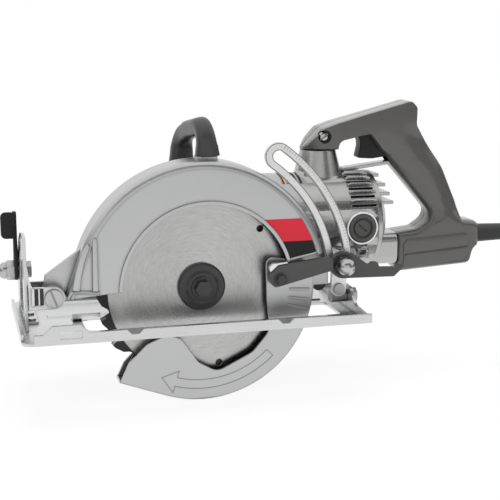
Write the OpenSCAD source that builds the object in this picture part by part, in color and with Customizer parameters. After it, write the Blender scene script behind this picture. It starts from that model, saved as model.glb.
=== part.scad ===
/* [Blade] */
// Blade diameter over the tooth tips
blade_d = 184; // [178:1:186]
// Thickness of the blade plate
blade_t = 1.8; // [1.4:0.1:2.4]
// Number of teeth
tooth_count = 24; // [18:2:40]
// Depth of a gullet below the tooth tip
gullet_h = 9; // [6:0.5:11]
// Width of the diamond arbor across its flats
diamond_w = 13; // [11:0.5:13.5]
// Radius of the two blade flanges
flange_r = 21; // [18:0.5:22]
// Thickness of a blade flange
flange_t = 4.2; // [3.6:0.1:4.4]

/* [Gears] */
// Teeth on the worm wheel
wheel_teeth = 19; // [17:1:19]
// Starts on the worm
worm_starts = 4; // [3:1:5]
// Tooth module of the worm and its wheel
gear_module = 2.4; // [2.2:0.05:2.4]
// Pitch radius of the worm
worm_pitch_r = 19.2; // [18:0.1:20]
// Face width of the worm wheel
wheel_w = 18; // [14:0.5:20]
// Length of the worm's thread
worm_len = 38; // [32:1:40]

/* [Layout] */
// Height of the arbor above the sole at full depth of cut
arbor_h = 31.8; // [31:0.1:36]
// Distance of the blade from the motor's centre plane
blade_off = 62; // [62:0.5:66]
// Least gap between pieces that move past each other
run_gap = 0.4; // [0.3:0.05:0.5]
// Radial clearance of a turning fit
fit_gap = 0.05; // [0.03:0.01:0.08]

/* [Guards] */
// Outer radius of the upper guard
guard_r = 111; // [110:0.5:111.5]
// Wall of the upper guard
guard_wall = 2.5; // [2:0.1:3]
// Near face of the upper guard from the blade's mid plane
guard_near = 16; // [15.5:0.1:17]
// Far face of the upper guard from the blade's mid plane
guard_far = 15; // [15:0.1:16]
// Radius of the upper guard's rounded near edge
guard_edge_r = 6; // [4:0.5:8]
// Radius of the window in the upper guard
window_r = 74; // [74:0.5:78]
// Angle where the upper guard's rim leaves the circle at the front
front_angle = 160; // [156:1:162]
// Length of the straight front of the upper guard
front_len = 40; // [36:1:42]
// Room from the tooth tips to the outside of the lower guard
lower_room = 8; // [6.5:0.5:10]
// Wall of the lower guard
lower_wall = 2; // [1.6:0.1:2.2]
// Near face of the lower guard from the blade's mid plane
lower_near = 10.5; // [10:0.1:11]
// Length of the lower guard's straight front lip
lip_len = 43; // [36:1:44]

/* [Motor] */
// Outer radius of the motor housing
motor_r = 46; // [45:0.5:47]
// Wall of the motor housing
motor_wall = 3.4; // [3:0.1:4]
// Front joint of the motor housing, behind the arbor
motor_front = 65; // [64:0.5:67]
// Length of the motor housing
motor_len = 106; // [106:0.5:108]
// Radius of the armature core
core_r = 26; // [24:0.5:26.5]
// Radius of the commutator
comm_r = 15; // [13:0.5:16]
// Radius of the armature shaft
shaft_r = 8; // [7:0.5:8.5]
// Brush axis behind the front joint
brush_x = 88; // [86:0.5:89]
// Radius of a brush cap
cap_r = 13; // [12.5:0.5:14.5]

/* [Handle] */
// Half width of the rear handle
handle_half = 17; // [15:0.5:18]
// Rounding of the handle's edges
handle_round = 5; // [3:0.5:5.5]
// Width of the trigger
trigger_w = 13; // [11:0.5:14]
// Half width of the front handle's grip along the saw
aux_half_w = 10.5; // [9:0.5:11]
// Half thickness of the front handle's grip
aux_half_t = 8; // [7:0.5:8.5]

/* [Foot] */
// Front edge of the foot, ahead of the depth pin
foot_nose = 29.5; // [28:0.5:33]
// Rear edge of the foot, behind the arbor
foot_rear = 143; // [142:1:146]
// Near edge of the foot from the blade
foot_near = 44; // [42:0.5:46]
// Far edge of the foot from the blade
foot_far = 105; // [100:1:110]
// Thickness of the foot plate
foot_t = 2.5; // [2:0.1:2.6]
// Height of the foot's side lips
lip_h = 9; // [8:0.5:10]
// Near edge of the blade slot from the blade
slot_near = 16; // [15:0.5:18]
// Far edge of the blade slot from the blade
slot_far = 28; // [28:0.5:31]

/* [Depth and bevel] */
// Front depth pin, ahead of the arbor
pin_x = 128.5; // [128:0.5:131]
// Height of the depth pin above the sole
pin_z = 32.5; // [32:0.1:34]
// Radius of the depth pin
pin_r = 4; // [3.5:0.1:4.5]
// Clamp bolt of the depth lever, behind the arbor
clamp_x = 127; // [126.5:0.5:129]
// Height of the clamp bolt above the sole
clamp_z = 46; // [45:0.5:48]
// Radius of the clamp bolts
bolt_r = 4; // [3.5:0.1:4.5]
// Pivot of the depth link, behind the arbor
link_x = 126.5; // [126:0.5:127]
// Height of the depth link's pivot above the sole
link_z = 22; // [21:0.5:23]
// Half width of the depth link
link_half = 12; // [11:0.25:12]
// Half width of the depth link's slot
link_slot = 5.25; // [5.25:0.25:6]
// Largest tilt of the foot in depth
depth_max = 25; // [20:1:25]
// Turn of the depth link for each degree of depth tilt
link_ratio = 0.5; // [0.48:0.01:0.5]
// Bevel axis beyond the blade
bevel_off = 8; // [8:0.5:9]
// Height of the bevel axis above the sole
bevel_z = 13; // [12.5:0.5:14]
// Radius of the bevel slot's middle line
quadrant_r = 61; // [60:0.5:64]
// Angle of the bevel bolt above the sole at no bevel
bevel_start = 28; // [26:1:30]
// Largest bevel
bevel_max = 45; // [40:1:45]

/* [Cord] */
// Diameter of the cord
cord_d = 8.4; // [7.8:0.1:8.6]
// Length of the strain relief outside the handle
boot_len = 58; // [45:1:58]
// Radius of the strain relief at the handle
boot_r = 9.4; // [8.6:0.1:10]
// Turns in the stored coil
coil_turns = 6.5; // [4.5:1:6.5]
// Innermost radius of the coil
coil_in = 34.5; // [34:0.5:38]
// Space between neighbouring turns
coil_gap = 0.8; // [0.7:0.1:1.2]

/* [Hidden] */
$fn = 72;
blade_y = -blade_off;
blade_r = blade_d / 2;
lower_r = blade_r + lower_room;
wheel_pitch_r = wheel_teeth * gear_module / 2;
motor_z = arbor_h + wheel_pitch_r + worm_pitch_r;
gear_add = 0.72 * gear_module;
gear_ded = 1.05 * gear_module;
wheel_tip_r = wheel_pitch_r + gear_add;
worm_tip_r = worm_pitch_r + gear_add;
gear_pitch = PI * gear_module;
worm_lead = worm_starts * gear_pitch;
tooth_thick = 0.4 * gear_pitch;
tooth_slope = 0.36;
case_wall = 2.5;
chamber_r = wheel_tip_r + 0.7;
case_r = chamber_r + case_wall;
tunnel_r = worm_tip_r + 1.6;
tunnel_out = tunnel_r + 3.5;
nose_r = 23.9;
seat_r = 17.5;
seat_in = 8.5;
outer_seat_r = 13;
outer_seat_in = 6.5;
case_far = 22;
case_nose_x = -50;
motor_rear = motor_front + motor_len;
bore_r = motor_r - motor_wall;
brush_at = motor_front + brush_x;
flange_out = 51;
pocket_w = trigger_w / 2 + run_gap;
trigger_pivot = [127, 84];
neck_top = 67.2;
tail_end = 135.5;
lower_far = 9.5;
ring_t = 1.3;
lever_z0 = guard_near + 1.4;
lever_t = 4.5;
screw_at = [66.3, 6.7];
window_at = [3, 0];
face_step = 0.9;
lock_travel = 4;
bevel_y = blade_y + bevel_off;
foot_front = pin_x + foot_nose;
bevel_bolt_y = bevel_y + quadrant_r * cos(bevel_start);
bevel_bolt_z = bevel_z + quadrant_r * sin(bevel_start);
quadrant_x = -foot_front + 6;
quadrant_t = 2.6;
bracket_t = 3;
bracket_x = quadrant_x + quadrant_t + run_gap;
link_t = 4;
aux_near_y = blade_y + 4;
aux_far_y = blade_y + 85;
aux_x = 6;
pad_z = arbor_h + guard_r + 2.4;
post_z = motor_z + 54;
floor_z = arbor_h - lower_r;
gland_x = motor_front + 222;
boot_z = motor_z - 20;
boot_end = gland_x + boot_len;
coil_pitch = cord_d + coil_gap;
coil_out = coil_in + coil_pitch * coil_turns / 2;
coil_at = [367, -76];
coil_z = floor_z + cord_d / 2;
fit_in = 0.03;

// Hand-chosen points of the cord between the strain relief and the coil
cord_route = [[366, 0, 51.5], [388, -3, 42], [411, -14, 24], [430, -36, 1],
    [440, -64, -22], [441, -92, -40], [434, -116, -53], [420, -133, -61]];

// Outline helpers
function unit(v) = v / norm(v);
function turn(p, c, a) = [c.x + (p.x - c.x) * cos(a) - (p.y - c.y) * sin(a),
    c.y + (p.x - c.x) * sin(a) + (p.y - c.y) * cos(a)];
function polar(r, a) = [r * cos(a), r * sin(a)];
function arc(c, r, a0, a1, n) = [for (i = [0:n]) c + polar(r, a0 + (a1 - a0) * i / n)];
function wrap(a) = a > 180 ? a - 360 : a < -180 ? a + 360 : a;
// Corner points [x, y, radius] joined into one outline with round corners
function corner(a, p, b, n) = let (
        q = [p.x, p.y],
        u = unit([a.x, a.y] - q),
        v = unit([b.x, b.y] - q),
        half = acos(u * v) / 2,
        c = q + unit(u + v) * p.z / sin(half),
        s = q + u * p.z / tan(half) - c,
        e = q + v * p.z / tan(half) - c,
        a0 = atan2(s.y, s.x),
        sweep = wrap(atan2(e.y, e.x) - a0))
    p.z == 0 ? [q] : arc(c, p.z, a0, a0 + sweep, n);
function rounded(pts, n = 5) = [for (i = [0:len(pts) - 1]) each
    corner(pts[(i + len(pts) - 1) % len(pts)], pts[i], pts[(i + 1) % len(pts)], n)];
// A counter-clockwise outline moved inwards by d
function inset(pts, d) = [for (i = [0:len(pts) - 1]) let (
        p = pts[i],
        e1 = unit(p - pts[(i + len(pts) - 1) % len(pts)]),
        e2 = unit(pts[(i + 1) % len(pts)] - p),
        n1 = [-e1.y, e1.x],
        n2 = [-e2.y, e2.x])
    p + d * (n1 + n2) / (1 + n1 * n2)];
// Both sides of a strip along a line of points
function side(path, w) = [for (i = [0:len(path) - 1]) let (
        t = unit(path[min(i + 1, len(path) - 1)] - path[max(i - 1, 0)]))
    path[i] + w * [-t.y, t.x]];
function flipped(v) = [for (i = [len(v) - 1:-1:0]) v[i]];
function strip(path, w) = concat(side(path, -w), flipped(side(path, w)));

// An outline cut into triangles, one ear at a time
function side_of(a, b, c) = (b.x - a.x) * (c.y - a.y) - (b.y - a.y) * (c.x - a.x);
function within(p, a, b, c) = side_of(a, b, p) >= 0 && side_of(b, c, p) >= 0 && side_of(c, a, p) >= 0;
function is_ear(pts, at, k) = let (
        m = len(at),
        i = (k + m - 1) % m,
        j = (k + 1) % m)
    side_of(pts[at[i]], pts[at[k]], pts[at[j]]) > 1e-6
    && len([for (q = [0:m - 1]) if (q != i && q != j && q != k
        && within(pts[at[q]], pts[at[i]], pts[at[k]], pts[at[j]])) q]) == 0;
function first_ear(pts, at, k = 0) = k >= len(at) ? 0 : is_ear(pts, at, k) ? k :
    first_ear(pts, at, k + 1);
function ears(pts, at) = len(at) < 4 ? [at] : let (
        m = len(at),
        k = first_ear(pts, at))
    concat([[at[(k + m - 1) % m], at[k], at[(k + 1) % m]]],
        ears(pts, [for (j = [0:m - 1]) if (j != k) at[j]]));

// Solid helpers
module slab_y(y0, y1) {
    translate([0, y1, 0]) rotate([90, 0, 0]) linear_extrude(y1 - y0) children();
}
module slab_x(x0, x1) {
    translate([x0, 0, 0]) rotate([90, 0, 90]) linear_extrude(x1 - x0) children();
}
module rod_y(x, z, y0, y1, r) {
    translate([x, y1, z]) rotate([90, 0, 0]) cylinder(h = y1 - y0, r = r);
}
module rod_x(y, z, x0, x1, r) {
    translate([x0, y, z]) rotate([0, 90, 0]) cylinder(h = x1 - x0, r = r);
}
module rod_z(x, y, z0, z1, r) {
    translate([x, y, z0]) cylinder(h = z1 - z0, r = r);
}
module hex_y(x, z, y0, y1, r) {
    translate([x, y1, z]) rotate([90, 0, 0]) cylinder(h = y1 - y0, r = r, $fn = 6);
}
module hex_x(y, z, x0, x1, r) {
    translate([x0, y, z]) rotate([0, 90, 0]) cylinder(h = x1 - x0, r = r, $fn = 6);
}
// Arbor space: x to the rear, y up, z towards the near side from the blade's mid plane
module on_arbor() {
    translate([0, blade_y, arbor_h]) rotate([90, 0, 0]) children();
}
module layer(z0, z1) {
    translate([0, 0, z0]) linear_extrude(z1 - z0) children();
}
module at_motor() {
    translate([motor_front, 0, motor_z]) children();
}
// Motor space: z along the shaft to the rear, x down
module on_shaft(x) {
    translate([x, 0, motor_z]) rotate([0, 90, 0]) children();
}
module mirror_y() {
    children();
    mirror([0, 1, 0]) children();
}
// A slab with flat back and rounded front edge, from an outline
module soft_slab(pts, h, r, n = 4) {
    m = len(pts);
    rings = concat([[0, 0], [h - r, 0]],
        [for (k = [1:n]) [h - r + r * sin(90 * k / n), r * (1 - cos(90 * k / n))]]);
    grid = [for (q = rings) each [for (p = inset(pts, q[1])) [p.x, p.y, q[0]]]];
    last = (len(rings) - 1) * m;
    all_points = [for (i = [0:m - 1]) i];
    polyhedron(grid, concat(
        ears(pts, all_points),
        [for (f = ears(inset(pts, r), all_points)) [last + f[2], last + f[1], last + f[0]]],
        [for (k = [0:len(rings) - 2]) for (i = [0:m - 1]) let (j = (i + 1) % m) each
            [[k * m + i, k * m + m + i, k * m + m + j], [k * m + i, k * m + m + j, k * m + j]]]));
}
// A tube of one section swept along points without twist
module tube(path, ring, first) {
    m = len(ring);
    n = len(path);
    t = [for (i = [0:n - 1]) unit(path[min(i + 1, n - 1)] - path[max(i - 1, 0)])];
    across = [for (i = 0, v = unit(first - (first * t[0]) * t[0]); i < n;
        i = i + 1, v = i < n ? unit(v - (v * t[i]) * t[i]) : v) v];
    grid = [for (i = [0:n - 1]) for (q = ring)
        path[i] + q.x * across[i] + q.y * cross(t[i], across[i])];
    polyhedron(grid, concat(
        [for (i = [1:m - 2]) [0, i, i + 1]],
        [for (i = [1:m - 2]) [(n - 1) * m, (n - 1) * m + i + 1, (n - 1) * m + i]],
        [for (k = [0:n - 2]) for (i = [0:m - 1]) let (j = (i + 1) % m) each
            [[k * m + i, k * m + m + i, k * m + m + j], [k * m + i, k * m + m + j, k * m + j]]]));
}
function circle_ring(r, m) = [for (i = [0:m - 1]) polar(r, 360 * (i + 0.5) / m)];

// Upper guard
module guard_edge() {
    translate([guard_r - guard_wall, -guard_far - 0.4])
        square([guard_wall, guard_far + guard_near - guard_edge_r + 0.4]);
    translate([guard_r - guard_edge_r, guard_near - guard_edge_r]) intersection() {
        difference() {
            circle(guard_edge_r);
            circle(guard_edge_r - guard_wall);
        }
        square(guard_edge_r);
    }
}
module guard_face(r) {
    q = polar(r, front_angle) + polar(front_len - 0.5, front_angle + 90);
    polygon(concat(arc([0, 0], r, 14.8, front_angle, 48),
        [q, [q.x + 4, q.y], [-70, 2.5], [0, 2.5], [60, 17]]));
}
module guard_ear() {
    pin = [-pin_x, pin_z - arbor_h];
    polygon([[13 - guard_r, 44], [5 - guard_r, 37], [-pin_x - 5.5, 17], pin + [-9, 0], pin + [0, -9],
        [-guard_r - 3, -4], [1 - guard_r, 2]]);
}
module upper_guard() color("silver") difference() {
    on_arbor() {
        rotate([0, 0, 14]) rotate_extrude(angle = front_angle - 14) guard_edge();
        rotate([0, 0, front_angle]) translate([0, front_len, 0]) rotate([90, 0, 0])
            linear_extrude(front_len) guard_edge();
        layer(guard_near - guard_wall + 0.2, guard_near - face_step) difference() {
            guard_face(guard_r - guard_edge_r + 0.5);
            translate(window_at) circle(window_r);
        }
        layer(guard_near - face_step - 0.3, guard_near + 0.4) intersection() {
            guard_face(guard_r - guard_edge_r - 1);
            translate(window_at) difference() {
                circle(window_r + 3);
                circle(window_r);
            }
        }
        layer(guard_near - face_step - 0.3, guard_near + 0.6) translate([16 - guard_r, 4])
            square([3.4, 40]);
        layer(-guard_far, guard_wall - guard_far) difference() {
            union() {
                guard_face(guard_r - 1);
                circle(29);
                translate([60, -6]) square([lower_r - 42, 40]);
            }
            circle(nose_r + fit_in);
        }
        translate([lower_r + 2.5, -6, -guard_far]) cube([15.5, 12, 12]);
        layer(-4, 2) guard_ear();
        translate([-pin_x, pin_z - arbor_h, -8.5]) cylinder(h = 20, r = 9);
        translate([aux_x - 9, guard_r - 5, blade_y - aux_near_y - 7])
            cube([18, pad_z - arbor_h - guard_r + 5, 14]);
    }
    rod_y(-pin_x, pin_z, blade_y - 30, blade_y + 30, pin_r + fit_gap);
    rod_z(aux_x, aux_near_y, pad_z - 9, pad_z + 1, 2.5 + fit_in);
    guard_screw_places(-guard_far - 1, -guard_far + guard_wall + 1, 1.6);
}
// Rods at the three places where screws hold the upper guard
module guard_screw_places(z0, z1, r) {
    on_arbor() for (a = [55, 90, 125]) rotate(a) translate([27.8, 0, z0]) cylinder(h = z1 - z0, r = r);
}

// Gear case
module gear_case() color("silver") difference() {
    union() {
        rod_y(0, arbor_h, blade_y + guard_far, case_far, case_r);
        rod_y(0, arbor_h, blade_y + lower_far - 2.6, blade_y + guard_far, nose_r);
        rod_x(0, motor_z, case_nose_x, motor_front, tunnel_out);
        on_shaft(case_nose_x - 6) cylinder(h = 6, r1 = tunnel_out - 8, r2 = tunnel_out);
        rod_x(0, motor_z, motor_front - 8, motor_front, motor_r);
        on_shaft(motor_front - 26) cylinder(h = 18, r1 = tunnel_out, r2 = motor_r - 4);
        slab_y(blade_y + guard_far, case_far)
            polygon(rounded([[-case_r, arbor_h, 0], [case_r, arbor_h, 0],
            [case_r + 6, motor_z, 0], [-case_r - 6, motor_z, 0]]));
        slab_y(blade_y + guard_far, blade_y + guard_far + 8)
            polygon([[-46, arbor_h + 20], [46, arbor_h + 20], [46, 100], [26, 132], [-14, 132],
                [-46, 100]]);
        translate([aux_x - 11, aux_far_y - 9, motor_z]) cube([22, 18, post_z - motor_z]);
        translate([aux_x - 3, blade_y + guard_far, motor_z])
            cube([6, aux_far_y - blade_y - guard_far, 44]);
        cover_places(case_far - 13, case_far, 4.5);
    }
    rod_y(0, arbor_h, -wheel_w / 2 - 2, case_far + 1, chamber_r);
    rod_y(0, arbor_h, blade_y, -wheel_w / 2 - 1, seat_in + 4);
    rod_y(0, arbor_h, blade_y - 1, blade_y + 18, seat_r + fit_in);
    rod_x(0, motor_z, case_nose_x + 6, motor_front + 1, tunnel_r);
    rod_x(0, motor_z, motor_front - 6, motor_front + 1, bore_r);
    rod_z(lock_x(), 0, motor_z, motor_z + 60, 5 + fit_gap);
    rod_z(30, 0, motor_z + tunnel_r - 2, motor_z + 60, 6 + fit_in);
    rod_z(aux_x, aux_far_y, post_z - 14, post_z + 1, 2.5 + fit_in);
    guard_screw_places(-guard_far - 9, -guard_far + 1, 1.6);
    cover_places(case_far - 12, case_far + 1, 2 + fit_in);
}
function lock_x() = -worm_len / 2 - 10;
// Rods at the four places where screws hold the gear cover
module cover_places(y0, y1, r) {
    for (a = [35, 145, 215, 325]) translate([0, 0, arbor_h]) rotate([0, a, 0])
        rod_y(case_r + 3, 0, y0, y1, r);
}
module gear_cover() color("silver") difference() {
    union() {
        rod_y(0, arbor_h, case_far, case_far + 5, case_r);
        rod_y(0, arbor_h, case_far + 5, case_far + 13, outer_seat_r + 4);
        cover_places(case_far, case_far + 5, 4.5);
        for (a = [0:60:300]) translate([0, 0, arbor_h]) rotate([0, a, 0])
            translate([0, case_far + 5, -1]) cube([case_r - 2, 3, 2]);
    }
    rod_y(0, arbor_h, case_far - 1, case_far + 10, outer_seat_r + fit_in);
    cover_places(case_far - 1, case_far + 9, 2 + fit_in);
}
module cover_screws() color("dimgray") {
    cover_places(case_far - 11, case_far + 5, 2);
    cover_places(case_far + 5, case_far + 8, 3.6);
}
module guard_screws() color("dimgray") {
    guard_screw_places(-guard_far + guard_wall, -guard_far + guard_wall + 1.6, 2.1);
    guard_screw_places(-guard_far - 8, -guard_far + guard_wall, 1.57);
}
module oil_plug() color("dimgray") {
    translate([30, 0, motor_z + tunnel_out]) cylinder(h = 5, r = 8.5, $fn = 6);
    rod_z(30, 0, motor_z + tunnel_r - 1, motor_z + tunnel_out, 6);
}
module lock_button() color("black") {
    rod_z(lock_x(), 0, motor_z + shaft_r + lock_travel + run_gap, motor_z + tunnel_out, 2.4);
    rod_z(lock_x(), 0, motor_z + tunnel_out - 6, motor_z + tunnel_out + 7, 5);
}

// Arbor and gears
module bearing(r_out, r_in, w) {
    difference() {
        cylinder(h = w, r = r_out);
        translate([0, 0, -1]) cylinder(h = w + 2, r = r_in);
        for (z = [-1, w - 0.8]) translate([0, 0, z]) difference() {
            cylinder(h = 1.8, r = r_out - 2);
            cylinder(h = 1.8, r = r_in + 2);
        }
    }
}
module arbor_bearings() color("lightgray") {
    translate([0, blade_y + 18, arbor_h]) rotate([90, 0, 0]) bearing(seat_r, seat_in + fit_gap, 10);
    translate([0, case_far + 10, arbor_h]) rotate([90, 0, 0])
        bearing(outer_seat_r, outer_seat_in + fit_gap, 9);
}
module guard_ring() color("dimgray") on_arbor() translate([0, 0, 2.6 - lower_far]) difference() {
    cylinder(h = ring_t, r = nose_r + 2.5);
    translate([0, 0, -1]) cylinder(h = ring_t + 2, r = seat_r + 1);
}
module guard_spring() color("gray") on_arbor() rotate_extrude(angle = 320)
    translate([nose_r + fit_in, -guard_far + guard_wall + run_gap]) square([1.4, 1.6]);
module arbor_shaft() color("lightgray") difference() {
    translate([0, 0, arbor_h]) union() {
        rotate([0, 45, 0]) translate([-diamond_w / 2, blade_y - blade_t / 2 - 1, -diamond_w / 2])
            cube([diamond_w, blade_t + 1, diamond_w]);
        rod_y(0, 0, blade_y + blade_t / 2, blade_y + 18, seat_in);
        rod_y(0, 0, blade_y + 18, -wheel_w / 2, seat_in + 2);
        rod_y(0, 0, -wheel_w / 2, wheel_w / 2, seat_in);
        rod_y(0, 0, wheel_w / 2, case_far + 10, outer_seat_in);
    }
    rod_y(0, arbor_h, blade_y - 10, blade_y + 26, 4.9 + fit_in);
}
function tooth_half(r, pitch_r) = (tooth_thick / 2 - (r - pitch_r) * tooth_slope) / r * 180 / PI;
module worm_wheel() color("goldenrod") {
    root = wheel_pitch_r - gear_ded;
    step = 360 / wheel_teeth;
    lean = wheel_w * worm_lead / (2 * PI * worm_pitch_r) / wheel_pitch_r * 180 / PI;
    th = tooth_half(root, wheel_pitch_r);
    tt = tooth_half(wheel_tip_r, wheel_pitch_r);
    difference() {
        translate([0, wheel_w / 2, arbor_h]) rotate([90, 0, 0]) rotate(90 + step / 2 - lean / 2)
            linear_extrude(wheel_w, twist = -lean, slices = 6, segments = 4 * wheel_teeth)
            polygon([for (i = [0:wheel_teeth - 1])
                each [polar(root, i * step - th), polar(wheel_tip_r, i * step - tt),
                polar(wheel_tip_r, i * step + tt), polar(root, i * step + th)]]);
        rod_y(0, arbor_h, -wheel_w, wheel_w, seat_in + fit_in);
        for (s = [-1, 1]) translate([0, s * wheel_w / 2, 0]) difference() {
            rod_y(0, arbor_h, -3, 3, root - 2.5);
            rod_y(0, arbor_h, -4, 4, seat_in + 3.5);
        }
    }
}
module worm() color("gray") {
    root = worm_pitch_r - gear_ded;
    step = 360 / worm_starts;
    half_root = (tooth_thick / 2 + gear_ded * tooth_slope) / worm_lead * 360;
    half_tip = (tooth_thick / 2 - gear_add * tooth_slope) / worm_lead * 360;
    difference() {
        on_shaft(-worm_len / 2) rotate(-180 * worm_len / worm_lead)
            linear_extrude(worm_len, twist = -360 * worm_len / worm_lead, slices = 36, segments = 28)
            polygon([for (i = [0:worm_starts - 1]) each concat(
                arc([0, 0], worm_tip_r, i * step - half_tip, i * step + half_tip, 2),
                arc([0, 0], root, i * step + half_root, (i + 1) * step - half_root, 3))]);
        rod_x(0, motor_z, -worm_len, worm_len, shaft_r + fit_in);
    }
}
module inner_flange() color("dimgray") on_arbor() translate([0, 0, -blade_t / 2 - flange_t])
    difference() {
    cylinder(h = flange_t, r = flange_r);
    translate([0, 0, -1]) cylinder(h = flange_t + 2, r = seat_in + fit_in);
    translate([0, 0, flange_t - 1]) difference() {
        cylinder(h = 2, r = flange_r - 5);
        cylinder(h = 2, r = seat_in + 3);
    }
}
function tooth_points(a, step) = [polar(blade_r - gullet_h, a - 0.12 * step),
    polar(blade_r - gullet_h * 0.55, a - 0.06 * step),
    polar(blade_r, a), polar(blade_r - 0.6, a + 0.22 * step),
        polar(blade_r - gullet_h * 0.45, a + 0.55 * step),
    polar(blade_r - gullet_h * 0.85, a + 0.68 * step), polar(blade_r - gullet_h, a + 0.78 * step)];
module blade() color("lightgray") on_arbor() layer(-blade_t / 2, blade_t / 2) {
    step = 360 / tooth_count;
    difference() {
        polygon([for (i = [0:tooth_count - 1]) each tooth_points(i * step, step)]);
        rotate(45) square(diamond_w + 2 * fit_in, center = true);
        for (a = [35, 155, 275]) rotate(a + step / 2) {
            translate([72, 0]) circle(3.2);
            translate([72, -0.4]) square([blade_r, 0.8]);
        }
    }
}
module outer_flange() color("black") on_arbor() translate([0, 0, blade_t / 2]) rotate_extrude()
    polygon([[5, 1.6], [10, 1.6], [10, 0], [flange_r, 0], [flange_r, flange_t - 1.5],
        [flange_r - 1.5, flange_t],
        [flange_r - 6, flange_t], [flange_r - 8.5, flange_t + 1.6], [5, flange_t + 1.6]]);
module blade_bolt() color("dimgray") on_arbor() {
    top = blade_t / 2 + flange_t + 1.6;
    translate([0, 0, top]) cylinder(h = 1.6, r = 9.6);
    translate([0, 0, top + 1.6]) cylinder(h = 5.4, r = 7.4, $fn = 6);
    translate([0, 0, -24]) cylinder(h = 24 + top, r = 4.9);
}

// Lower guard
function lower_outer() = let (r = lower_r - lower_wall / 2) concat(
    [polar(r, -110) + (lip_len - 0.5) * [sin(-110), -cos(-110)]], arc([0, 0], r, -110, 7.5, 24));
module lower_profile() {
    translate([lower_r - lower_wall, -lower_far + 0.4])
        square([lower_wall, lower_far + lower_near - 0.8]);
}
module lower_guard() color("silver") difference() {
    on_arbor() {
        rotate([0, 0, -110]) rotate_extrude(angle = 118) lower_profile();
        rotate([0, 0, -110]) rotate([90, 0, 0]) linear_extrude(lip_len) lower_profile();
        layer(lower_near - lower_wall, lower_near) polygon(concat(lower_outer(), rounded([[93, 20, 0],
            [56, 25, 6], [57, -14, 10], [60, -42, 14], [44.4, -60.5, 20], [12, -76, 12], [-5, -66, 12],
            [-20, -44, 8], [-32, -39.5, 8], [-50, -46.5, 12], [-66, -62, 0]], 4)));
        layer(-lower_far, lower_wall - lower_far) difference() {
            union() {
                polygon(concat(lower_outer(),
                    [[93, 20], [28, 14], [-28, 8], [-30, -20], [-52, -50], [-68, -66]]));
                circle(nose_r + 6);
            }
            circle(nose_r + fit_gap);
            rotate(-50) for (a = [-28, 28]) rotate(a) translate([58, 0]) circle(11);
        }
        translate([screw_at.x, screw_at.y, lower_near - 1])
            cylinder(h = lever_z0 - lower_near + 1, r = 5.2);
        layer(lower_near - 0.3, lower_near + 0.9) for (a = [-14, -9, -3.5]) rotate(a)
            translate([78, -1]) square([18, 1.6]);
    }
    on_arbor() translate([screw_at.x, screw_at.y, lower_near - 2]) cylinder(h = 20, r = 2.2 + fit_in);
}
module lift_lever() color("dimgray") on_arbor() layer(lever_z0, lever_z0 + lever_t) difference() {
    polygon(rounded([[57, 12, 3], [64, 18.6, 3], [114.5, 25, 5], [113.6, 12, 4], [72, 2, 8],
        [61, -0.5, 4], [57, 4, 3]]));
    translate(screw_at) circle(2.2 + fit_in);
}
module lift_screw() color("dimgray") on_arbor() translate([screw_at.x, screw_at.y, 0]) {
    translate([0, 0, lever_z0 + lever_t]) cylinder(h = 1.2, r = 5.6);
    translate([0, 0, lever_z0 + lever_t + 1.2]) cylinder(h = 3, r = 4.2, $fn = 6);
    translate([0, 0, lower_near - 1]) cylinder(h = lever_z0 + lever_t - lower_near + 1, r = 2.2);
}
module guard_bumper() color("black") on_arbor() translate([lower_r + 10, -6, -guard_far + 1])
    intersection() {
    cylinder(h = 9, r = 6);
    translate([-10, -10, -1]) cube([20, 10, 12]);
}

// Front handle
module aux_handle() color("dimgray") difference() {
    tube(concat(
        [[aux_x, aux_near_y, pad_z], [aux_x, aux_near_y, pad_z + 8]],
        [for (a = [180:-18:90]) [aux_x, aux_near_y + 15 + 15 * cos(a), pad_z + 9 + 15 * sin(a)]],
        [for (f = [0.25, 0.5, 0.75]) [aux_x, aux_near_y + 15 + 45 * f, pad_z + 24 - 7 * f]],
        [for (a = [84:-16:4]) [aux_x, aux_far_y - 20 + 20 * cos(a), post_z + 15 + 17 * sin(a)]],
        [[aux_x, aux_far_y, post_z + 10], [aux_x, aux_far_y, post_z]]),
        [for (a = [15:30:345]) [aux_half_t * pow(abs(cos(a)), 0.7) * sign(cos(a)),
            aux_half_w * pow(abs(sin(a)), 0.7) * sign(sin(a))]], [0, -1, 0]);
    rod_z(aux_x, aux_near_y, pad_z - 1, pad_z + 8, 2.5 + fit_in);
    rod_z(aux_x, aux_far_y, post_z - 1, post_z + 8, 2.5 + fit_in);
}
module aux_screws() color("gray") {
    rod_z(aux_x, aux_near_y, pad_z - 8, pad_z + 7, 2.5);
    rod_z(aux_x, aux_far_y, post_z - 13, post_z + 7, 2.5);
}

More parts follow.
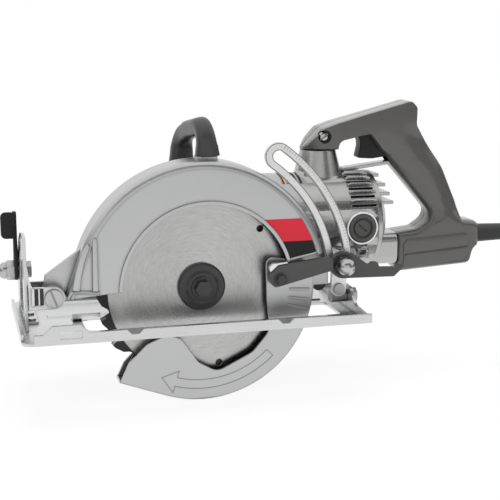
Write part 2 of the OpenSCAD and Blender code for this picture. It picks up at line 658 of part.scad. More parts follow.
// Motor
module motor_screw_places(x0, x1, r) {
    for (a = [70, 110, 250, 290]) on_shaft(x0) rotate(a) translate([bore_r - 1.8, 0, 0])
        cylinder(h = x1 - x0, r = r);
}
module motor_housing() color("silver") difference() {
    union() {
        rod_x(0, motor_z, motor_front, motor_rear, motor_r);
        at_motor() translate([61, 0, 34]) cylinder(h = neck_top - 34, r1 = 25, r2 = 16.5);
        rod_y(clamp_x, clamp_z, blade_y + link_t / 2 + run_gap, -34, 9);
        mirror_y() rod_y(brush_at, motor_z, -flange_out, -30, cap_r + 2);
        at_motor() translate([brush_x - 4, -motor_r - 0.5, -29]) cube([12, 12, 11]);
    }
    rod_x(0, motor_z, motor_front - 1, motor_rear + 1, bore_r);
    rod_y(clamp_x, clamp_z, blade_y, -36, bolt_r + fit_in);
    at_motor() translate([61, 0, 40]) cylinder(h = 40, r = 8);
    for (i = [0:4]) translate([motor_front + 20 + 4.2 * i, 0, motor_z]) rotate([90, 0, 90])
        linear_extrude(2.4) polygon(concat(arc([0, 0], motor_r + 3, 70, 122, 6),
            arc([0, 0], bore_r - 1, 122, 70, 6)));
    mirror_y() {
        rod_y(brush_at, motor_z, -flange_out - 1, -flange_out + 5, cap_r + fit_in);
        rod_y(brush_at, motor_z, -flange_out, -20, 7 + fit_in);
    }
    at_motor() translate([brush_x - 1.5, -motor_r - 1, -26]) cube([7, 8, 5]);
    motor_screw_places(motor_front - 1, motor_rear + 1, 2.1);
}
module motor_end() color("silver") difference() {
    union() {
        rod_x(0, motor_z, motor_rear, motor_rear + 4, motor_r);
        on_shaft(motor_rear + 4) cylinder(h = 10, r1 = motor_r - 4, r2 = motor_r - 20);
        for (i = [0:3]) translate([motor_rear + 3, 0, motor_z + 41 - 7.5 * i]) {
            half = 0.9 * sqrt(motor_r * motor_r - pow(43.5 - 7.5 * i, 2));
            translate([0, -half, 0]) cube([8 + 2 * i, 2 * half, 3]);
        }
        slab_x(motor_rear + 2, motor_front + tail_end) translate([0, motor_z])
            polygon(rounded([[-19, -43, 8], [19, -43, 8], [19, -13, 8], [-19, -13, 8]]));
    }
    rod_x(0, motor_z, motor_rear - 1, motor_rear + 10, outer_seat_r + fit_in);
    motor_screw_places(motor_rear - 1, motor_rear + 3, 2.1);
}
module motor_screws() color("gray") motor_screw_places(motor_front, motor_rear + 2.5, 2);
module field_window(a) {
    polygon(concat(arc([0, 0], bore_r - 4.5, a - 8, a + 8, 4), arc([0, 0], core_r + 4, a + 8, a - 8, 4)));
}
module field_core() color("gray") on_shaft(motor_front + 36) linear_extrude(38) difference() {
    circle(bore_r - 0.1);
    circle(core_r + 0.8);
    for (a = [50, 130, 230, 310]) field_window(a);
    for (a = [70, 110, 250, 290]) rotate(a) translate([bore_r - 1.8, 0]) circle(2.6);
}
module field_coils() color("peru") for (m = [0, 180]) on_shaft(motor_front) rotate(m) {
    for (z = [20, 74.5]) translate([0, 0, z]) rotate([0, 0, 43]) rotate_extrude(angle = 94)
        translate([core_r + 5, 0]) square([bore_r - core_r - 10.5, z < 40 ? 15.8 : 5.6]);
    for (a = [50, 130]) translate([0, 0, 35]) linear_extrude(40)
        polygon(concat(arc([0, 0], bore_r - 6, a - 6, a + 6, 4),
            arc([0, 0], core_r + 5.5, a + 6, a - 6, 4)));
}
module armature_shaft() color("lightgray") difference() {
    union() {
        rod_x(0, motor_z, case_nose_x + 6, -worm_len / 2 - 14, outer_seat_in);
        rod_x(0, motor_z, -worm_len / 2 - 14, motor_rear + 0.5, shaft_r);
        rod_x(0, motor_z, motor_rear, motor_rear + 9.5, outer_seat_in);
    }
    rod_z(lock_x(), 0, motor_z - 20, motor_z + 20, 2.4 + 2 * fit_gap);
}
module armature_core() color("gray") on_shaft(motor_front + 36) difference() {
    linear_extrude(38) difference() {
        circle(core_r);
        for (i = [0:13]) rotate(360 / 14 * i) translate([core_r - 8, -1.2]) square([10, 2.4]);
    }
    translate([0, 0, -1]) cylinder(h = 40, r = shaft_r + fit_in);
}
module commutator() color("peru") on_shaft(brush_at - 9) difference() {
    linear_extrude(18) difference() {
        circle(comm_r);
        for (i = [0:27]) rotate(360 / 28 * i) translate([comm_r - 1.5, -0.3]) square([3, 0.6]);
    }
    translate([0, 0, -1]) cylinder(h = 20, r = shaft_r + fit_in);
}
module fan() color("dimgray") on_shaft(motor_front + 2) difference() {
    union() {
        cylinder(h = 2, r = bore_r - 4);
        cylinder(h = 12, r = shaft_r + 5);
        for (i = [0:11]) rotate(30 * i) translate([shaft_r + 4, -1, 0])
            cube([bore_r - shaft_r - 9, 2, 12]);
    }
    translate([0, 0, -1]) cylinder(h = 14, r = shaft_r + fit_in);
}
module armature_bearings() color("lightgray") {
    on_shaft(case_nose_x + 7) bearing(tunnel_r - fit_in, outer_seat_in + fit_gap, 9);
    on_shaft(motor_front - 17) bearing(tunnel_r - fit_in, shaft_r + fit_gap, 10);
    on_shaft(motor_rear + 1) bearing(outer_seat_r, outer_seat_in + fit_gap, 8);
}
module brushes() color("black") mirror_y()
    translate([brush_at - 3, -36, motor_z - 4.5]) cube([6, 36 - comm_r - run_gap, 9]);
module brush_tubes() color("goldenrod") mirror_y() difference() {
    rod_y(brush_at, motor_z, -flange_out + 6, -20, 7);
    translate([brush_at - 3.05, -36.05, motor_z - 4.55]) cube([6.1, 20, 9.1]);
}
module brush_caps() color("black") mirror_y() difference() {
    rod_y(brush_at, motor_z, -flange_out - 0.8, -flange_out + 5, cap_r);
    rod_y(brush_at, motor_z, -flange_out - 2, -flange_out + 0.6, cap_r - 4);
    translate([brush_at, -flange_out + 0.6, motor_z]) rotate([0, 40, 0])
        cube([15, 2.4, 2], center = true);
}

// Rear handle
handle_line = rounded([[44.2, neck_top, 0], [77, neck_top, 0], [78, 75, 5], [99, 79.5, 4], [134, 79, 5],
    [tail_end, 51, 10], [168, 2, 14], [157, -10.5, 9], [tail_end, -13, 0], [tail_end, -43, 0],
        [143, -46, 7],
    [199, -46.5, 8], [204, -33, 4], [222, -31.5, 7], [222, -6, 7], [204, -2.5, 5], [196.5, 32, 30],
    [154.5, 91, 5], [156, 106, 6.5], [149, 112, 6.5], [76, 92.6, 12], [62, 88, 8],
    [51.5, 77.5, 8], [44.2, 69.5, 0]], 4);
module handle_pocket() {
    polygon([[97, 70], [97, 89], [113, 95], [144, 103], [144, 56], [134, 50]]);
}
module handle_half(heads) {
    difference() {
        at_motor() rotate([90, 0, 0]) soft_slab(handle_line, handle_half, handle_round);
        at_motor() slab_y(-pocket_w, 1) handle_pocket();
        at_motor() rod_y(trigger_pivot.x, trigger_pivot.y, -14, 1, 2.5 + fit_in);
        rod_x(0, boot_z, gland_x - 8, gland_x + 1, boot_r + fit_in);
        at_motor() for (p = handle_bolts()) {
            rod_y(p.x, p.y, -handle_half + (heads ? -1 : 6), 1, 2 + fit_in);
            if (heads) rod_y(p.x, p.y, -handle_half - 1, -handle_half + 5, 4.2);
        }
    }
}
function handle_bolts() = [[66, 80], [164, 60], [153, -28], [190, -28]];
module handle_left() color("dimgray") handle_half(false);
module handle_right() color("dimgray") mirror([0, 1, 0]) handle_half(true);
module handle_screws() color("gray") at_motor() mirror([0, 1, 0]) for (p = handle_bolts()) {
    rod_y(p.x, p.y, -handle_half + 5, handle_half - 6.5, 2);
    rod_y(p.x, p.y, -handle_half + 2.4, -handle_half + 5, 4);
}
module trigger() color("black") at_motor() difference() {
    slab_y(-trigger_w / 2, trigger_w / 2) polygon(rounded([[100, 86, 1], [100.5, 78, 2],
        [106.5, 66, 16], [114, 57.5, 3],
        [132, 57, 4], [131, 68, 12], [131, 79, 2], [131.5, 88, 2]]));
    rod_y(trigger_pivot.x, trigger_pivot.y, -20, 20, 2.5 + fit_gap);
}
module trigger_pin() color("gray") at_motor() rod_y(trigger_pivot.x, trigger_pivot.y, -13, 13, 2.5);
module trigger_guard() color("gray") at_motor() slab_y(-6, 6)
    polygon([[85, motor_r + 0.1], [128, 51.2], [134.8, 50.8], [134.4, 54.2], [128, 54.4], [85, 49.4]]);
module switch_body() color("black") at_motor() slab_y(-pocket_w + 0.2, pocket_w - 0.2)
    polygon([[116, 90.5], [143, 90.5], [143, 102.3], [116, 95.3]]);

// Foot
module foot_plate() {
    difference() {
        polygon(rounded([[-foot_front, blade_y - foot_near, 10], [foot_rear, blade_y - foot_near, 0],
            [foot_rear, blade_y + foot_far, 6], [-foot_front, blade_y + foot_far, 14]]));
        polygon(rounded([[-102, blade_y - slot_near, 8], [124, blade_y - slot_near, 3],
            [124, blade_y + slot_far, 3], [-102, blade_y + slot_far, 8]]));
    }
}
module near_lip() {
    difference() {
        polygon([[-foot_front + 10, 0], [foot_rear, 0], [foot_rear, lip_h - 1], [72, lip_h],
            [68, lip_h - 4], [62, lip_h - 4],
            [58, lip_h], [-58, lip_h], [-62, lip_h - 4], [-68, lip_h - 4], [-72, lip_h], [-103, lip_h],
                [-110, 16],
            [-133, 16], [-141, lip_h], [-foot_front + 10, lip_h]]);
        translate([-127, 4.6]) square([18, 6.8]);
    }
}
module foot() color("silver") difference() {
    union() {
        linear_extrude(foot_t) foot_plate();
        slab_y(blade_y - foot_near, blade_y - foot_near + 2.5) near_lip();
        slab_y(blade_y + foot_far - 2.5, blade_y + foot_far)
            translate([-foot_front + 14, 0]) square([foot_front + foot_rear - 20, lip_h]);
        slab_x(-foot_front, -foot_front + 2.5) translate([blade_y - foot_near + 10, 0])
            square([foot_near + foot_far - 24, lip_h - 1]);
        slab_x(foot_rear - 6.5, foot_rear - 3.5)
            polygon(rounded([[blade_y - foot_near, 0, 0], [bevel_y + 82, 0, 0],
            [bevel_y + 82, 4.5, 2], [bevel_y + 12, 23, 10], [bevel_y - 10, 23, 10],
                [bevel_y - 24, 9.5, 8],
            [blade_y - foot_near, lip_h - 1, 0]]));
        for (y = [blade_y + slot_far + 12, blade_y + foot_far - 18]) for (x = [-130, 42])
            slab_x(x, x + 80)
            polygon([[y - 4, foot_t], [y + 4, foot_t], [y + 2, foot_t + 1.2], [y - 2, foot_t + 1.2]]);
    }
    rod_x(bevel_y, bevel_z, foot_rear - 10, foot_rear + 1, bolt_r + fit_gap);
    for (y = rivet_places()) rod_z(quadrant_x + quadrant_t + 5, y, -1, 20, 2 + fit_in);
}
function rivet_places() = [for (d = [18, 38, 58]) bevel_y + d];
module bevel_quadrant() color("lightgray") difference() {
    union() {
        slab_x(quadrant_x, quadrant_x + quadrant_t) difference() {
            polygon(concat([[bevel_y - 14, foot_t], [bevel_y + quadrant_r + 10, foot_t]],
                arc([bevel_y, bevel_z], quadrant_r + 10, 0, 102, 20)));
            polygon(concat(arc([bevel_y, bevel_z], quadrant_r + bolt_r + 0.4, bevel_start,
                bevel_start + bevel_max + 1, 16),
                arc([bevel_y, bevel_z], quadrant_r - bolt_r - 0.4, bevel_start + bevel_max + 1,
                    bevel_start, 16)));
            for (a = [bevel_start, bevel_start + bevel_max + 1])
                translate([bevel_y, bevel_z] + polar(quadrant_r, a))
                circle(bolt_r + 0.4);
            polygon(concat([[bevel_y + 2, foot_t + 8], [bevel_y + quadrant_r - 16, foot_t + 8]],
                arc([bevel_y, bevel_z], quadrant_r - 14, 4, 86, 12)));
        }
        translate([quadrant_x, bevel_y + 10, foot_t]) cube([quadrant_t + 10, 56, 2]);
    }
    for (y = rivet_places()) rod_z(quadrant_x + quadrant_t + 5, y, -1, 20, 2 + fit_in);
}
module quadrant_rivets() color("gray") for (y = rivet_places()) {
    rod_z(quadrant_x + quadrant_t + 5, y, 0.2, foot_t + 2, 2);
    rod_z(quadrant_x + quadrant_t + 5, y, foot_t + 2, foot_t + 3.6, 3.6);
}
module tilt_arm() {
    translate([bracket_x, pin_z - 9.5]) square([-pin_x - bracket_x, 19]);
    translate([-pin_x, pin_z]) circle(9.5);
}
module tilt_bracket() color("silver") difference() {
    union() {
        slab_y(blade_y - 15, blade_y - 12) tilt_arm();
        slab_y(blade_y + 9, blade_y + 12) tilt_arm();
        slab_x(bracket_x, bracket_x + bracket_t)
            polygon(rounded([[blade_y - 15, pin_z - 9.5, 0], [blade_y + 20, pin_z - 9.5, 6],
            [bevel_bolt_y + 4, bevel_bolt_z - 11, 6], [bevel_bolt_y + 12, bevel_bolt_z, 8],
                [bevel_bolt_y + 2, bevel_bolt_z + 11, 8],
            [blade_y + 20, pin_z + 9.5, 8], [blade_y - 15, pin_z + 9.5, 0]]));
    }
    rod_y(-pin_x, pin_z, blade_y - 30, blade_y + 30, pin_r + fit_in);
    rod_x(bevel_bolt_y, bevel_bolt_z, bracket_x - 1, bracket_x + 10, bolt_r + fit_in);
}
module depth_pin() color("lightgray") difference() {
    union() {
        rod_y(-pin_x, pin_z, blade_y - 15, blade_y + 14, pin_r);
        rod_y(-pin_x, pin_z, blade_y - 17.8, blade_y - 15, 7.5);
    }
    translate([-pin_x, blade_y - 17.8, pin_z]) rotate([0, 70, 0]) cube([18, 2.4, 1.4], center = true);
}
module bevel_bolt() color("gray") {
    rod_x(bevel_bolt_y, bevel_bolt_z, quadrant_x - 12.5, bracket_x + bracket_t, bolt_r);
    hex_x(bevel_bolt_y, bevel_bolt_z, bracket_x + bracket_t, bracket_x + bracket_t + 5, 7.5);
}
module bevel_lever() color("black") {
    x1 = quadrant_x - run_gap;
    difference() {
        slab_x(x1 - 3.5, x1) union() {
            translate([bevel_bolt_y, bevel_bolt_z]) circle(11);
            polygon([[bevel_bolt_y - 9, bevel_bolt_z + 4], [bevel_bolt_y + 9, bevel_bolt_z + 4],
                [bevel_bolt_y + 2, bevel_bolt_z + 26], [bevel_bolt_y + 2, bevel_bolt_z + 53],
                    [bevel_bolt_y - 6, bevel_bolt_z + 53],
                [bevel_bolt_y - 6, bevel_bolt_z + 26]]);
        }
        rod_x(bevel_bolt_y, bevel_bolt_z, x1 - 10, x1 + 1, bolt_r + fit_gap);
    }
    slab_y(bevel_bolt_y - 6, bevel_bolt_y - 2.5)
        polygon(rounded([[x1 - 2, bevel_bolt_z + 29, 0], [x1 - 2, bevel_bolt_z + 52.8, 0],
        [x1 - 17, bevel_bolt_z + 52.8, 4], [x1 - 17, bevel_bolt_z + 29, 4]]));
}
module cap_nut(r) {
    difference() {
        union() {
            cylinder(h = 6.4, r = r, $fn = 6);
            translate([0, 0, 6.4]) cylinder(h = 1, r = r * 0.84);
            translate([0, 0, 7.4]) intersection() {
                sphere(r * 0.84);
                cylinder(h = r, r = r);
            }
        }
        translate([0, 0, -1]) cylinder(h = 10.4, r = bolt_r + fit_gap);
    }
}
module bevel_nut() color("lightgray") translate([quadrant_x - run_gap - 3.5, bevel_bolt_y, bevel_bolt_z])
    rotate([0, -90, 0]) cap_nut(9);

// Depth link and lever
function link_point(t) = turn(turn([clamp_x, clamp_z], [-pin_x, pin_z], t), [link_x, link_z],
    link_ratio * t);
link_path = [for (i = [0:10]) link_point(depth_max * i / 10)];
module depth_link() color("silver") difference() {
    slab_y(blade_y - link_t / 2, blade_y + link_t / 2) difference() {
        union() {
            polygon(strip(link_path, link_half));
            for (p = [link_path[0], link_path[10]]) translate(p) circle(link_half);
            polygon(strip([link_path[0], [link_x, link_z]], 7));
            translate([link_x, link_z]) circle(7);
        }
        polygon(strip(link_path, link_slot));
        for (p = [link_path[0], link_path[10]]) translate(p) circle(link_slot);
    }
    rod_y(link_x, link_z, blade_y - 10, blade_y + 10, 3 + fit_gap);
}
module depth_bolt() color("gray") rod_y(clamp_x, clamp_z, blade_y - 20, -36.5, bolt_r);
lever_y = blade_y - 8;
module depth_lever() color("dimgray") {
    difference() {
        union() {
            slab_y(lever_y - 5, lever_y) translate([clamp_x, clamp_z]) union() {
                circle(12);
                polygon(rounded([[0, 12, 0], [10, 9, 4], [24, -1.5, 3], [27, 1, 1.5], [32, 1, 1.5],
                    [34, -4, 2], [49, -4.5, 3],
                    [54, -1, 2], [58, -4, 2], [48, -13, 3], [0, -12, 0]]));
            }
            rod_y(clamp_x, clamp_z, lever_y, blade_y - link_t / 2 - run_gap, 8);
        }
        rod_y(clamp_x, clamp_z, lever_y - 10, blade_y, bolt_r + fit_gap);
    }
    translate([clamp_x, lever_y - 5, clamp_z]) rotate([90, 0, 0]) cap_nut(9.5);
}
module rear_yoke() color("gray") difference() {
    ear_y = blade_y + link_t / 2 + run_gap;
    union() {
        rod_x(bevel_y, bevel_z, link_x - 5, foot_rear - 6.5 - run_gap, 5.5);
        slab_y(ear_y, ear_y + 4.5) union() {
            translate([link_x, link_z]) circle(7);
            polygon([[link_x - 5, bevel_z], [link_x + 9, bevel_z], [link_x + 6.9, link_z],
                [link_x - 6.9, link_z]]);
        }
        rod_y(link_x, link_z, blade_y - link_t / 2 - 0.6, ear_y + 1, 3);
        rod_y(link_x, link_z, blade_y - link_t / 2 - 2.6, blade_y - link_t / 2 - run_gap, 5);
    }
    rod_x(bevel_y, bevel_z, link_x - 10, foot_rear, bolt_r + fit_in);
}
module pivot_bolt() color("dimgray") {
    rod_x(bevel_y, bevel_z, link_x - 5, foot_rear, bolt_r);
    rod_x(bevel_y, bevel_z, foot_rear - 3.5 + run_gap, foot_rear - 2, 8.5);
    hex_x(bevel_y, bevel_z, foot_rear - 2, foot_rear + 3, 7);
}

// Cord
module strain_relief() color("black") translate([gland_x - 7.5, 0, boot_z]) rotate([0, 90, 0])
    rotate_extrude()
    polygon([[0, 0], [boot_r, 0], [boot_r, 8], [boot_r - 0.6, 14], [cord_d / 2 + 3, boot_len + 7.5],
        [0, boot_len + 7.5]]);
function coil_r(u) = let (d = abs(u - coil_turns / 2))
    coil_in + coil_pitch * (d > 0.25 ? d : 2 * d * d + 0.125);
function smooth(f) = f <= 0 ? 0 : f >= 1 ? 1 : f * f * (3 - 2 * f);
function coil_point(u) = let (a = -90 - 360 * u, q = coil_at + polar(coil_r(u), a))
    [q.x, q.y, coil_z + (cord_d + coil_gap) * smooth((u - coil_turns / 2 + 0.25) / 0.5)];
coil_steps = round(coil_turns * 24);
coil_start = coil_point(0);
coil_end = coil_point(coil_turns);
coil_path = concat([coil_start + [cord_d, 0, 0]],
    [for (i = [0:coil_steps]) coil_point(coil_turns * i / coil_steps)],
    [coil_end + [cord_d, 0, 0], coil_end + [50, 0, 0]]);
coil_gaps = [for (i = [0:len(coil_path) - 1]) for (j = [i + 12:1:len(coil_path) - 1])
    norm(coil_path[i] - coil_path[j])];
echo(least_coil_gap = min(coil_gaps) - cord_d);
module cord_coil() color("black") tube(coil_path, circle_ring(cord_d / 2, 6), [0, 0, 1]);
cord_path = concat([[boot_end, 0, boot_z], [boot_end + cord_d, 0, boot_z]], cord_route,
    [coil_start + [34, 0, 0], coil_start + [cord_d, 0, 0]]);
module cord() color("black") tube(cord_path, circle_ring(cord_d / 2, 10), [0, 0, 1]);
module plug() color("black") {
    p = coil_end + [50, 0, 0];
    translate(p) rotate([0, 90, 0]) rotate_extrude()
        polygon([[0, 0], [6, 0], [7, 14], [13, 20], [13, 44], [11.5, 46], [0, 46]]);
    for (y = [-6, 6]) translate(p + [45, y - 0.75, 1]) cube([19, 1.5, 6]);
    translate(p + [45, 0, -6]) rotate([0, 90, 0]) cylinder(h = 20, r = 2.3);
}

upper_guard();
gear_case();
gear_cover();
cover_screws();
guard_screws();
oil_plug();
lock_button();
arbor_bearings();
guard_ring();
guard_spring();
arbor_shaft();
worm_wheel();
inner_flange();
blade();
outer_flange();
blade_bolt();
lower_guard();
lift_lever();
lift_screw();
guard_bumper();
aux_handle();
aux_screws();
motor_housing();
motor_end();
motor_screws();
field_core();
field_coils();
armature_shaft();
worm();
armature_core();
commutator();
fan();
armature_bearings();
brushes();
brush_tubes();
brush_caps();
handle_left();
handle_right();
handle_screws();
trigger();
trigger_pin();
trigger_guard();
switch_body();
foot();
bevel_quadrant();
quadrant_rivets();
tilt_bracket();
depth_pin();
bevel_bolt();
bevel_lever();
bevel_nut();
depth_link();
depth_bolt();
depth_lever();
rear_yoke();
pivot_bolt();
strain_relief();
cord();
cord_coil();
plug();
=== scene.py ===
"""Looks of a worm drive circular saw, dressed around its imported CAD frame."""

import logging
import math
from dataclasses import dataclass
from enum import Enum
from typing import Callable, Iterable, Sequence

import bmesh
import bpy
from mathutils import Matrix, Vector


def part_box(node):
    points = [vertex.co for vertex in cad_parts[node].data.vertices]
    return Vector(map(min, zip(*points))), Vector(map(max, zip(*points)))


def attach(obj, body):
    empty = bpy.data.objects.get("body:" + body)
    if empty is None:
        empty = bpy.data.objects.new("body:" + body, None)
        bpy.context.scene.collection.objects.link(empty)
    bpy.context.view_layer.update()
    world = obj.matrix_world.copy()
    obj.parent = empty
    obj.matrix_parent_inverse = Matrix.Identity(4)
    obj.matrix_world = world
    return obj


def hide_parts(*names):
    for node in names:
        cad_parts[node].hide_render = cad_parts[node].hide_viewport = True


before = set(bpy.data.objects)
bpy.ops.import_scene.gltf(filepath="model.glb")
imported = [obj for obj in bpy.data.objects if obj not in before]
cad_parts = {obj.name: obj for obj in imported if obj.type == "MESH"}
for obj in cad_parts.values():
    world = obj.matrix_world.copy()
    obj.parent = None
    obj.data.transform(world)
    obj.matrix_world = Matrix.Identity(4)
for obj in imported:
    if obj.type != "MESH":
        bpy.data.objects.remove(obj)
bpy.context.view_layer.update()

LOG = logging.getLogger("saw")

Point2 = tuple[float, float]
Point3 = tuple[float, float, float]
Corner = tuple[float, float, float]
Colour = tuple[float, float, float]
Piece = bpy.types.Object
Tree = bpy.types.NodeTree
Node = bpy.types.Node
Socket = bpy.types.NodeSocket

MM = 0.001
WHITE = (1.0, 1.0, 1.0, 1.0)
FLOAT, WHOLE, VECTOR = "NodeSocketFloat", "NodeSocketInt", "NodeSocketVector"
MATERIAL, GEOMETRY = "NodeSocketMaterial", "NodeSocketGeometry"

# Angles in degrees past which an edge stays sharp
SHARP = 38.0
CRISP = 30.0

# The radius in millimetres that closes a turned shape on its axis
POLE = 0.02

# Corners of a CAD mesh that are this close, in metres, become one
WELD = 2e-6

# Steps in the round edge of a plate
EDGE_STEPS = 4


class Body(Enum):
    """The moving bodies that a piece can ride on."""

    SAW = "saw"
    BLADE = "blade"
    LOWER_GUARD = "lower_guard"
    DEPTH_FRAME = "depth_frame"
    FOOT = "foot"
    DEPTH_LINK = "depth_link"
    DEPTH_LEVER = "depth_lever"
    BEVEL_LEVER = "bevel_lever"
    TRIGGER = "trigger"


class Slot(Enum):
    """The record's material slots."""

    CAST_ALUMINIUM = "cast_aluminium"
    SHEET_ALUMINIUM = "sheet_aluminium"
    BLADE_STEEL = "blade_steel"
    BRIGHT_STEEL = "bright_steel"
    DARK_STEEL = "dark_steel"
    GRIP_PLASTIC = "grip_plastic"
    BLACK_PLASTIC = "black_plastic"
    BLACK_RUBBER = "black_rubber"
    COPPER = "copper"
    BRASS = "brass"
    CARBON = "carbon"


@dataclass(frozen=True)
class Layout:
    """Shared places of the saw, in millimetres, as the CAD source has them."""

    blade_y: float = -62.0
    arbor_z: float = 31.8
    motor_x: float = 65.0
    motor_z: float = 73.8
    pin: Point2 = (-128.5, 32.5)
    clamp: Point2 = (127.0, 46.0)
    link: Point2 = (126.5, 22.0)
    bevel_y: float = -54.0
    bevel_z: float = 13.0
    floor_z: float = -68.2


LAYOUT = Layout()


# Node helpers


class Graph:
    """Adds nodes to a tree and joins their sockets."""

    def __init__(self, tree: Tree) -> None:
        """Starts on an existing tree."""
        self.tree = tree

    def add(self, kind: str, inputs: dict | None = None, **settings: object) -> Node:
        """Adds one node.

        Args:
            kind: Blender's type name of the node.
            inputs: Values or sockets for its inputs, by name or index.
            settings: Properties set on the node itself.

        Returns:
            The new node.
        """
        node = self.tree.nodes.new(kind)
        for name, value in settings.items():
            setattr(node, name, value)
        for key, value in (inputs or {}).items():
            if isinstance(value, Socket):
                self.tree.links.new(value, node.inputs[key])
            else:
                node.inputs[key].default_value = value
        return node

    def group(self, tree: Tree, inputs: dict | None = None) -> Node:
        """Returns a node that runs a shared group with its own values."""
        return self.add("ShaderNodeGroup", inputs, node_tree=tree)

    def math(self, operation: str, a: object, b: object = 0.0, clamp: bool = False) -> Socket:
        """Returns the output of one Math node."""
        return self.add("ShaderNodeMath", {0: a, 1: b}, operation=operation, use_clamp=clamp).outputs[0]

    def vector(self, operation: str, a: object, b: object = (0.0, 0.0, 0.0)) -> Node:
        """Returns one Vector Math node."""
        return self.add("ShaderNodeVectorMath", {0: a, 1: b}, operation=operation)

    def mix(self, share: object, a: object, b: object) -> Socket:
        """Blends two colours.

        Args:
            share: How much there is of b, a number or a socket.
            a: The first colour, three numbers or a socket.
            b: The second colour, three numbers or a socket.

        Returns:
            The socket of the blended colour.
        """
        ends = [c if isinstance(c, Socket) else (*c, 1.0) for c in (a, b)]
        return self.add("ShaderNodeMix", {0: share, 6: ends[0], 7: ends[1]}, data_type="RGBA").outputs[2]

    def ramp(self, value: object, start: Point2, end: Point2 = (0.0, 1.0)) -> Socket:
        """Maps a value from one range to another and holds it there.

        Args:
            value: A number or a socket.
            start: The range that it comes from.
            end: The range that it goes to.

        Returns:
            The socket of the mapped value.
        """
        ranges = {"From Min": start[0], "From Max": start[1], "To Min": end[0], "To Max": end[1]}
        return self.add("ShaderNodeMapRange", {"Value": value, **ranges}).outputs["Result"]

    def join(self, output: Node, **values: Socket) -> Tree:
        """Joins sockets to a group's output by name and closes the tree.

        Args:
            output: The group's output node.
            values: The socket for each named output.

        Returns:
            The finished tree.
        """
        for name, socket in values.items():
            self.tree.links.new(socket, output.inputs[name])
        return self.tree


def blank(owner: bpy.types.ID) -> Graph:
    """Empties the nodes of a material or a world.

    Args:
        owner: The new material or world.

    Returns:
        The graph of its tree.
    """
    owner.use_nodes = True
    owner.node_tree.nodes.clear()
    return Graph(owner.node_tree)


def new_tree(
    kind: str, name: str, inputs: Sequence[tuple[str, str, object]], outputs: Sequence[tuple[str, str]]
) -> tuple[Graph, Node, Node]:
    """Makes an empty node group with named sockets.

    Args:
        kind: Blender's type name of the tree.
        name: The group's name.
        inputs: (name, socket type, default) of each input.
        outputs: (name, socket type) of each output.

    Returns:
        The group's graph, its input node and its output node.
    """
    tree = bpy.data.node_groups.new(name, kind)
    for label, socket_type, value in inputs:
        socket = tree.interface.new_socket(label, in_out="INPUT", socket_type=socket_type)
        if value is not None:
            socket.default_value = value
    for label, socket_type in outputs:
        tree.interface.new_socket(label, in_out="OUTPUT", socket_type=socket_type)
    return Graph(tree), tree.nodes.new("NodeGroupInput"), tree.nodes.new("NodeGroupOutput")


class Effects:
    """Shader node groups that several finishes share, each built once."""

    kind = "ShaderNodeTree"

    def __init__(self) -> None:
        """Builds every group."""
        self.edges = self._edges()
        self.grain = self._grain()
        self.brush = self._brush()
        self.crevice = self._crevice()

    def _edges(self) -> Tree:
        """Builds the group that softens edges and marks where they are, for a painted highlight along them.

        Returns:
            The group.
        """
        inputs = [("Radius", FLOAT, 0.0006), ("Gain", FLOAT, 3.0)]
        g, gin, gout = new_tree(self.kind, "soft_edges", inputs, [("Normal", VECTOR), ("Edge", FLOAT)])
        bevel = g.add("ShaderNodeBevel", {"Radius": gin.outputs["Radius"]}, samples=6).outputs[0]
        flat = g.add("ShaderNodeNewGeometry").outputs["Normal"]
        turned = g.math("SUBTRACT", 1.0, g.vector("DOT_PRODUCT", bevel, flat).outputs["Value"])
        return g.join(gout, Normal=bevel, Edge=g.math("MULTIPLY", turned, gin.outputs["Gain"], clamp=True))

    def _grain(self) -> Tree:
        """Builds the group with fine grain and broad smudges.

        Returns:
            The group.
        """
        inputs = [("Vector", VECTOR, None), ("Grain Scale", FLOAT, 900.0), ("Smudge Scale", FLOAT, 22.0)]
        g, gin, gout = new_tree(self.kind, "grain_and_smudges", inputs, [("Grain", FLOAT), ("Smudge", FLOAT)])
        place = gin.outputs["Vector"]
        fine = {"Vector": place, "Scale": gin.outputs["Grain Scale"], "Detail": 2.0}
        broad = {"Vector": place, "Scale": gin.outputs["Smudge Scale"], "Detail": 4.0, "Roughness": 0.6}
        grain, smudge = (g.add("ShaderNodeTexNoise", values).outputs[0] for values in (fine, broad))
        return g.join(gout, Grain=g.ramp(grain, (0.3, 0.7)), Smudge=g.ramp(smudge, (0.32, 0.68)))

    def _brush(self) -> Tree:
        """Builds the group with fine parallel lines, stretched by a vector.

        Returns:
            The group.
        """
        inputs = [("Vector", VECTOR, None), ("Stretch", VECTOR, (1.0, 1.0, 1.0))]
        g, gin, gout = new_tree(self.kind, "brushed_lines", inputs, [("Line", FLOAT)])
        place = g.vector("MULTIPLY", gin.outputs["Vector"], gin.outputs["Stretch"]).outputs[0]
        values = {"Vector": place, "Scale": 1.0, "Detail": 3.0, "Roughness": 0.65}
        return g.join(gout, Line=g.ramp(g.add("ShaderNodeTexNoise", values).outputs[0], (0.28, 0.72)))

    def _crevice(self) -> Tree:
        """Builds the group that finds narrow corners, where the finishes paint shade.

        Returns:
            The group.
        """
        g, gin, gout = new_tree(self.kind, "crevice_shade", [("Reach", FLOAT, 0.003)], [("Shade", FLOAT)])
        near = g.add("ShaderNodeAmbientOcclusion", {"Distance": gin.outputs["Reach"]}, samples=8)
        return g.join(gout, Shade=g.ramp(near.outputs["AO"], (0.35, 0.97), (1.0, 0.0)))


EFFECTS = Effects()


# Finishes


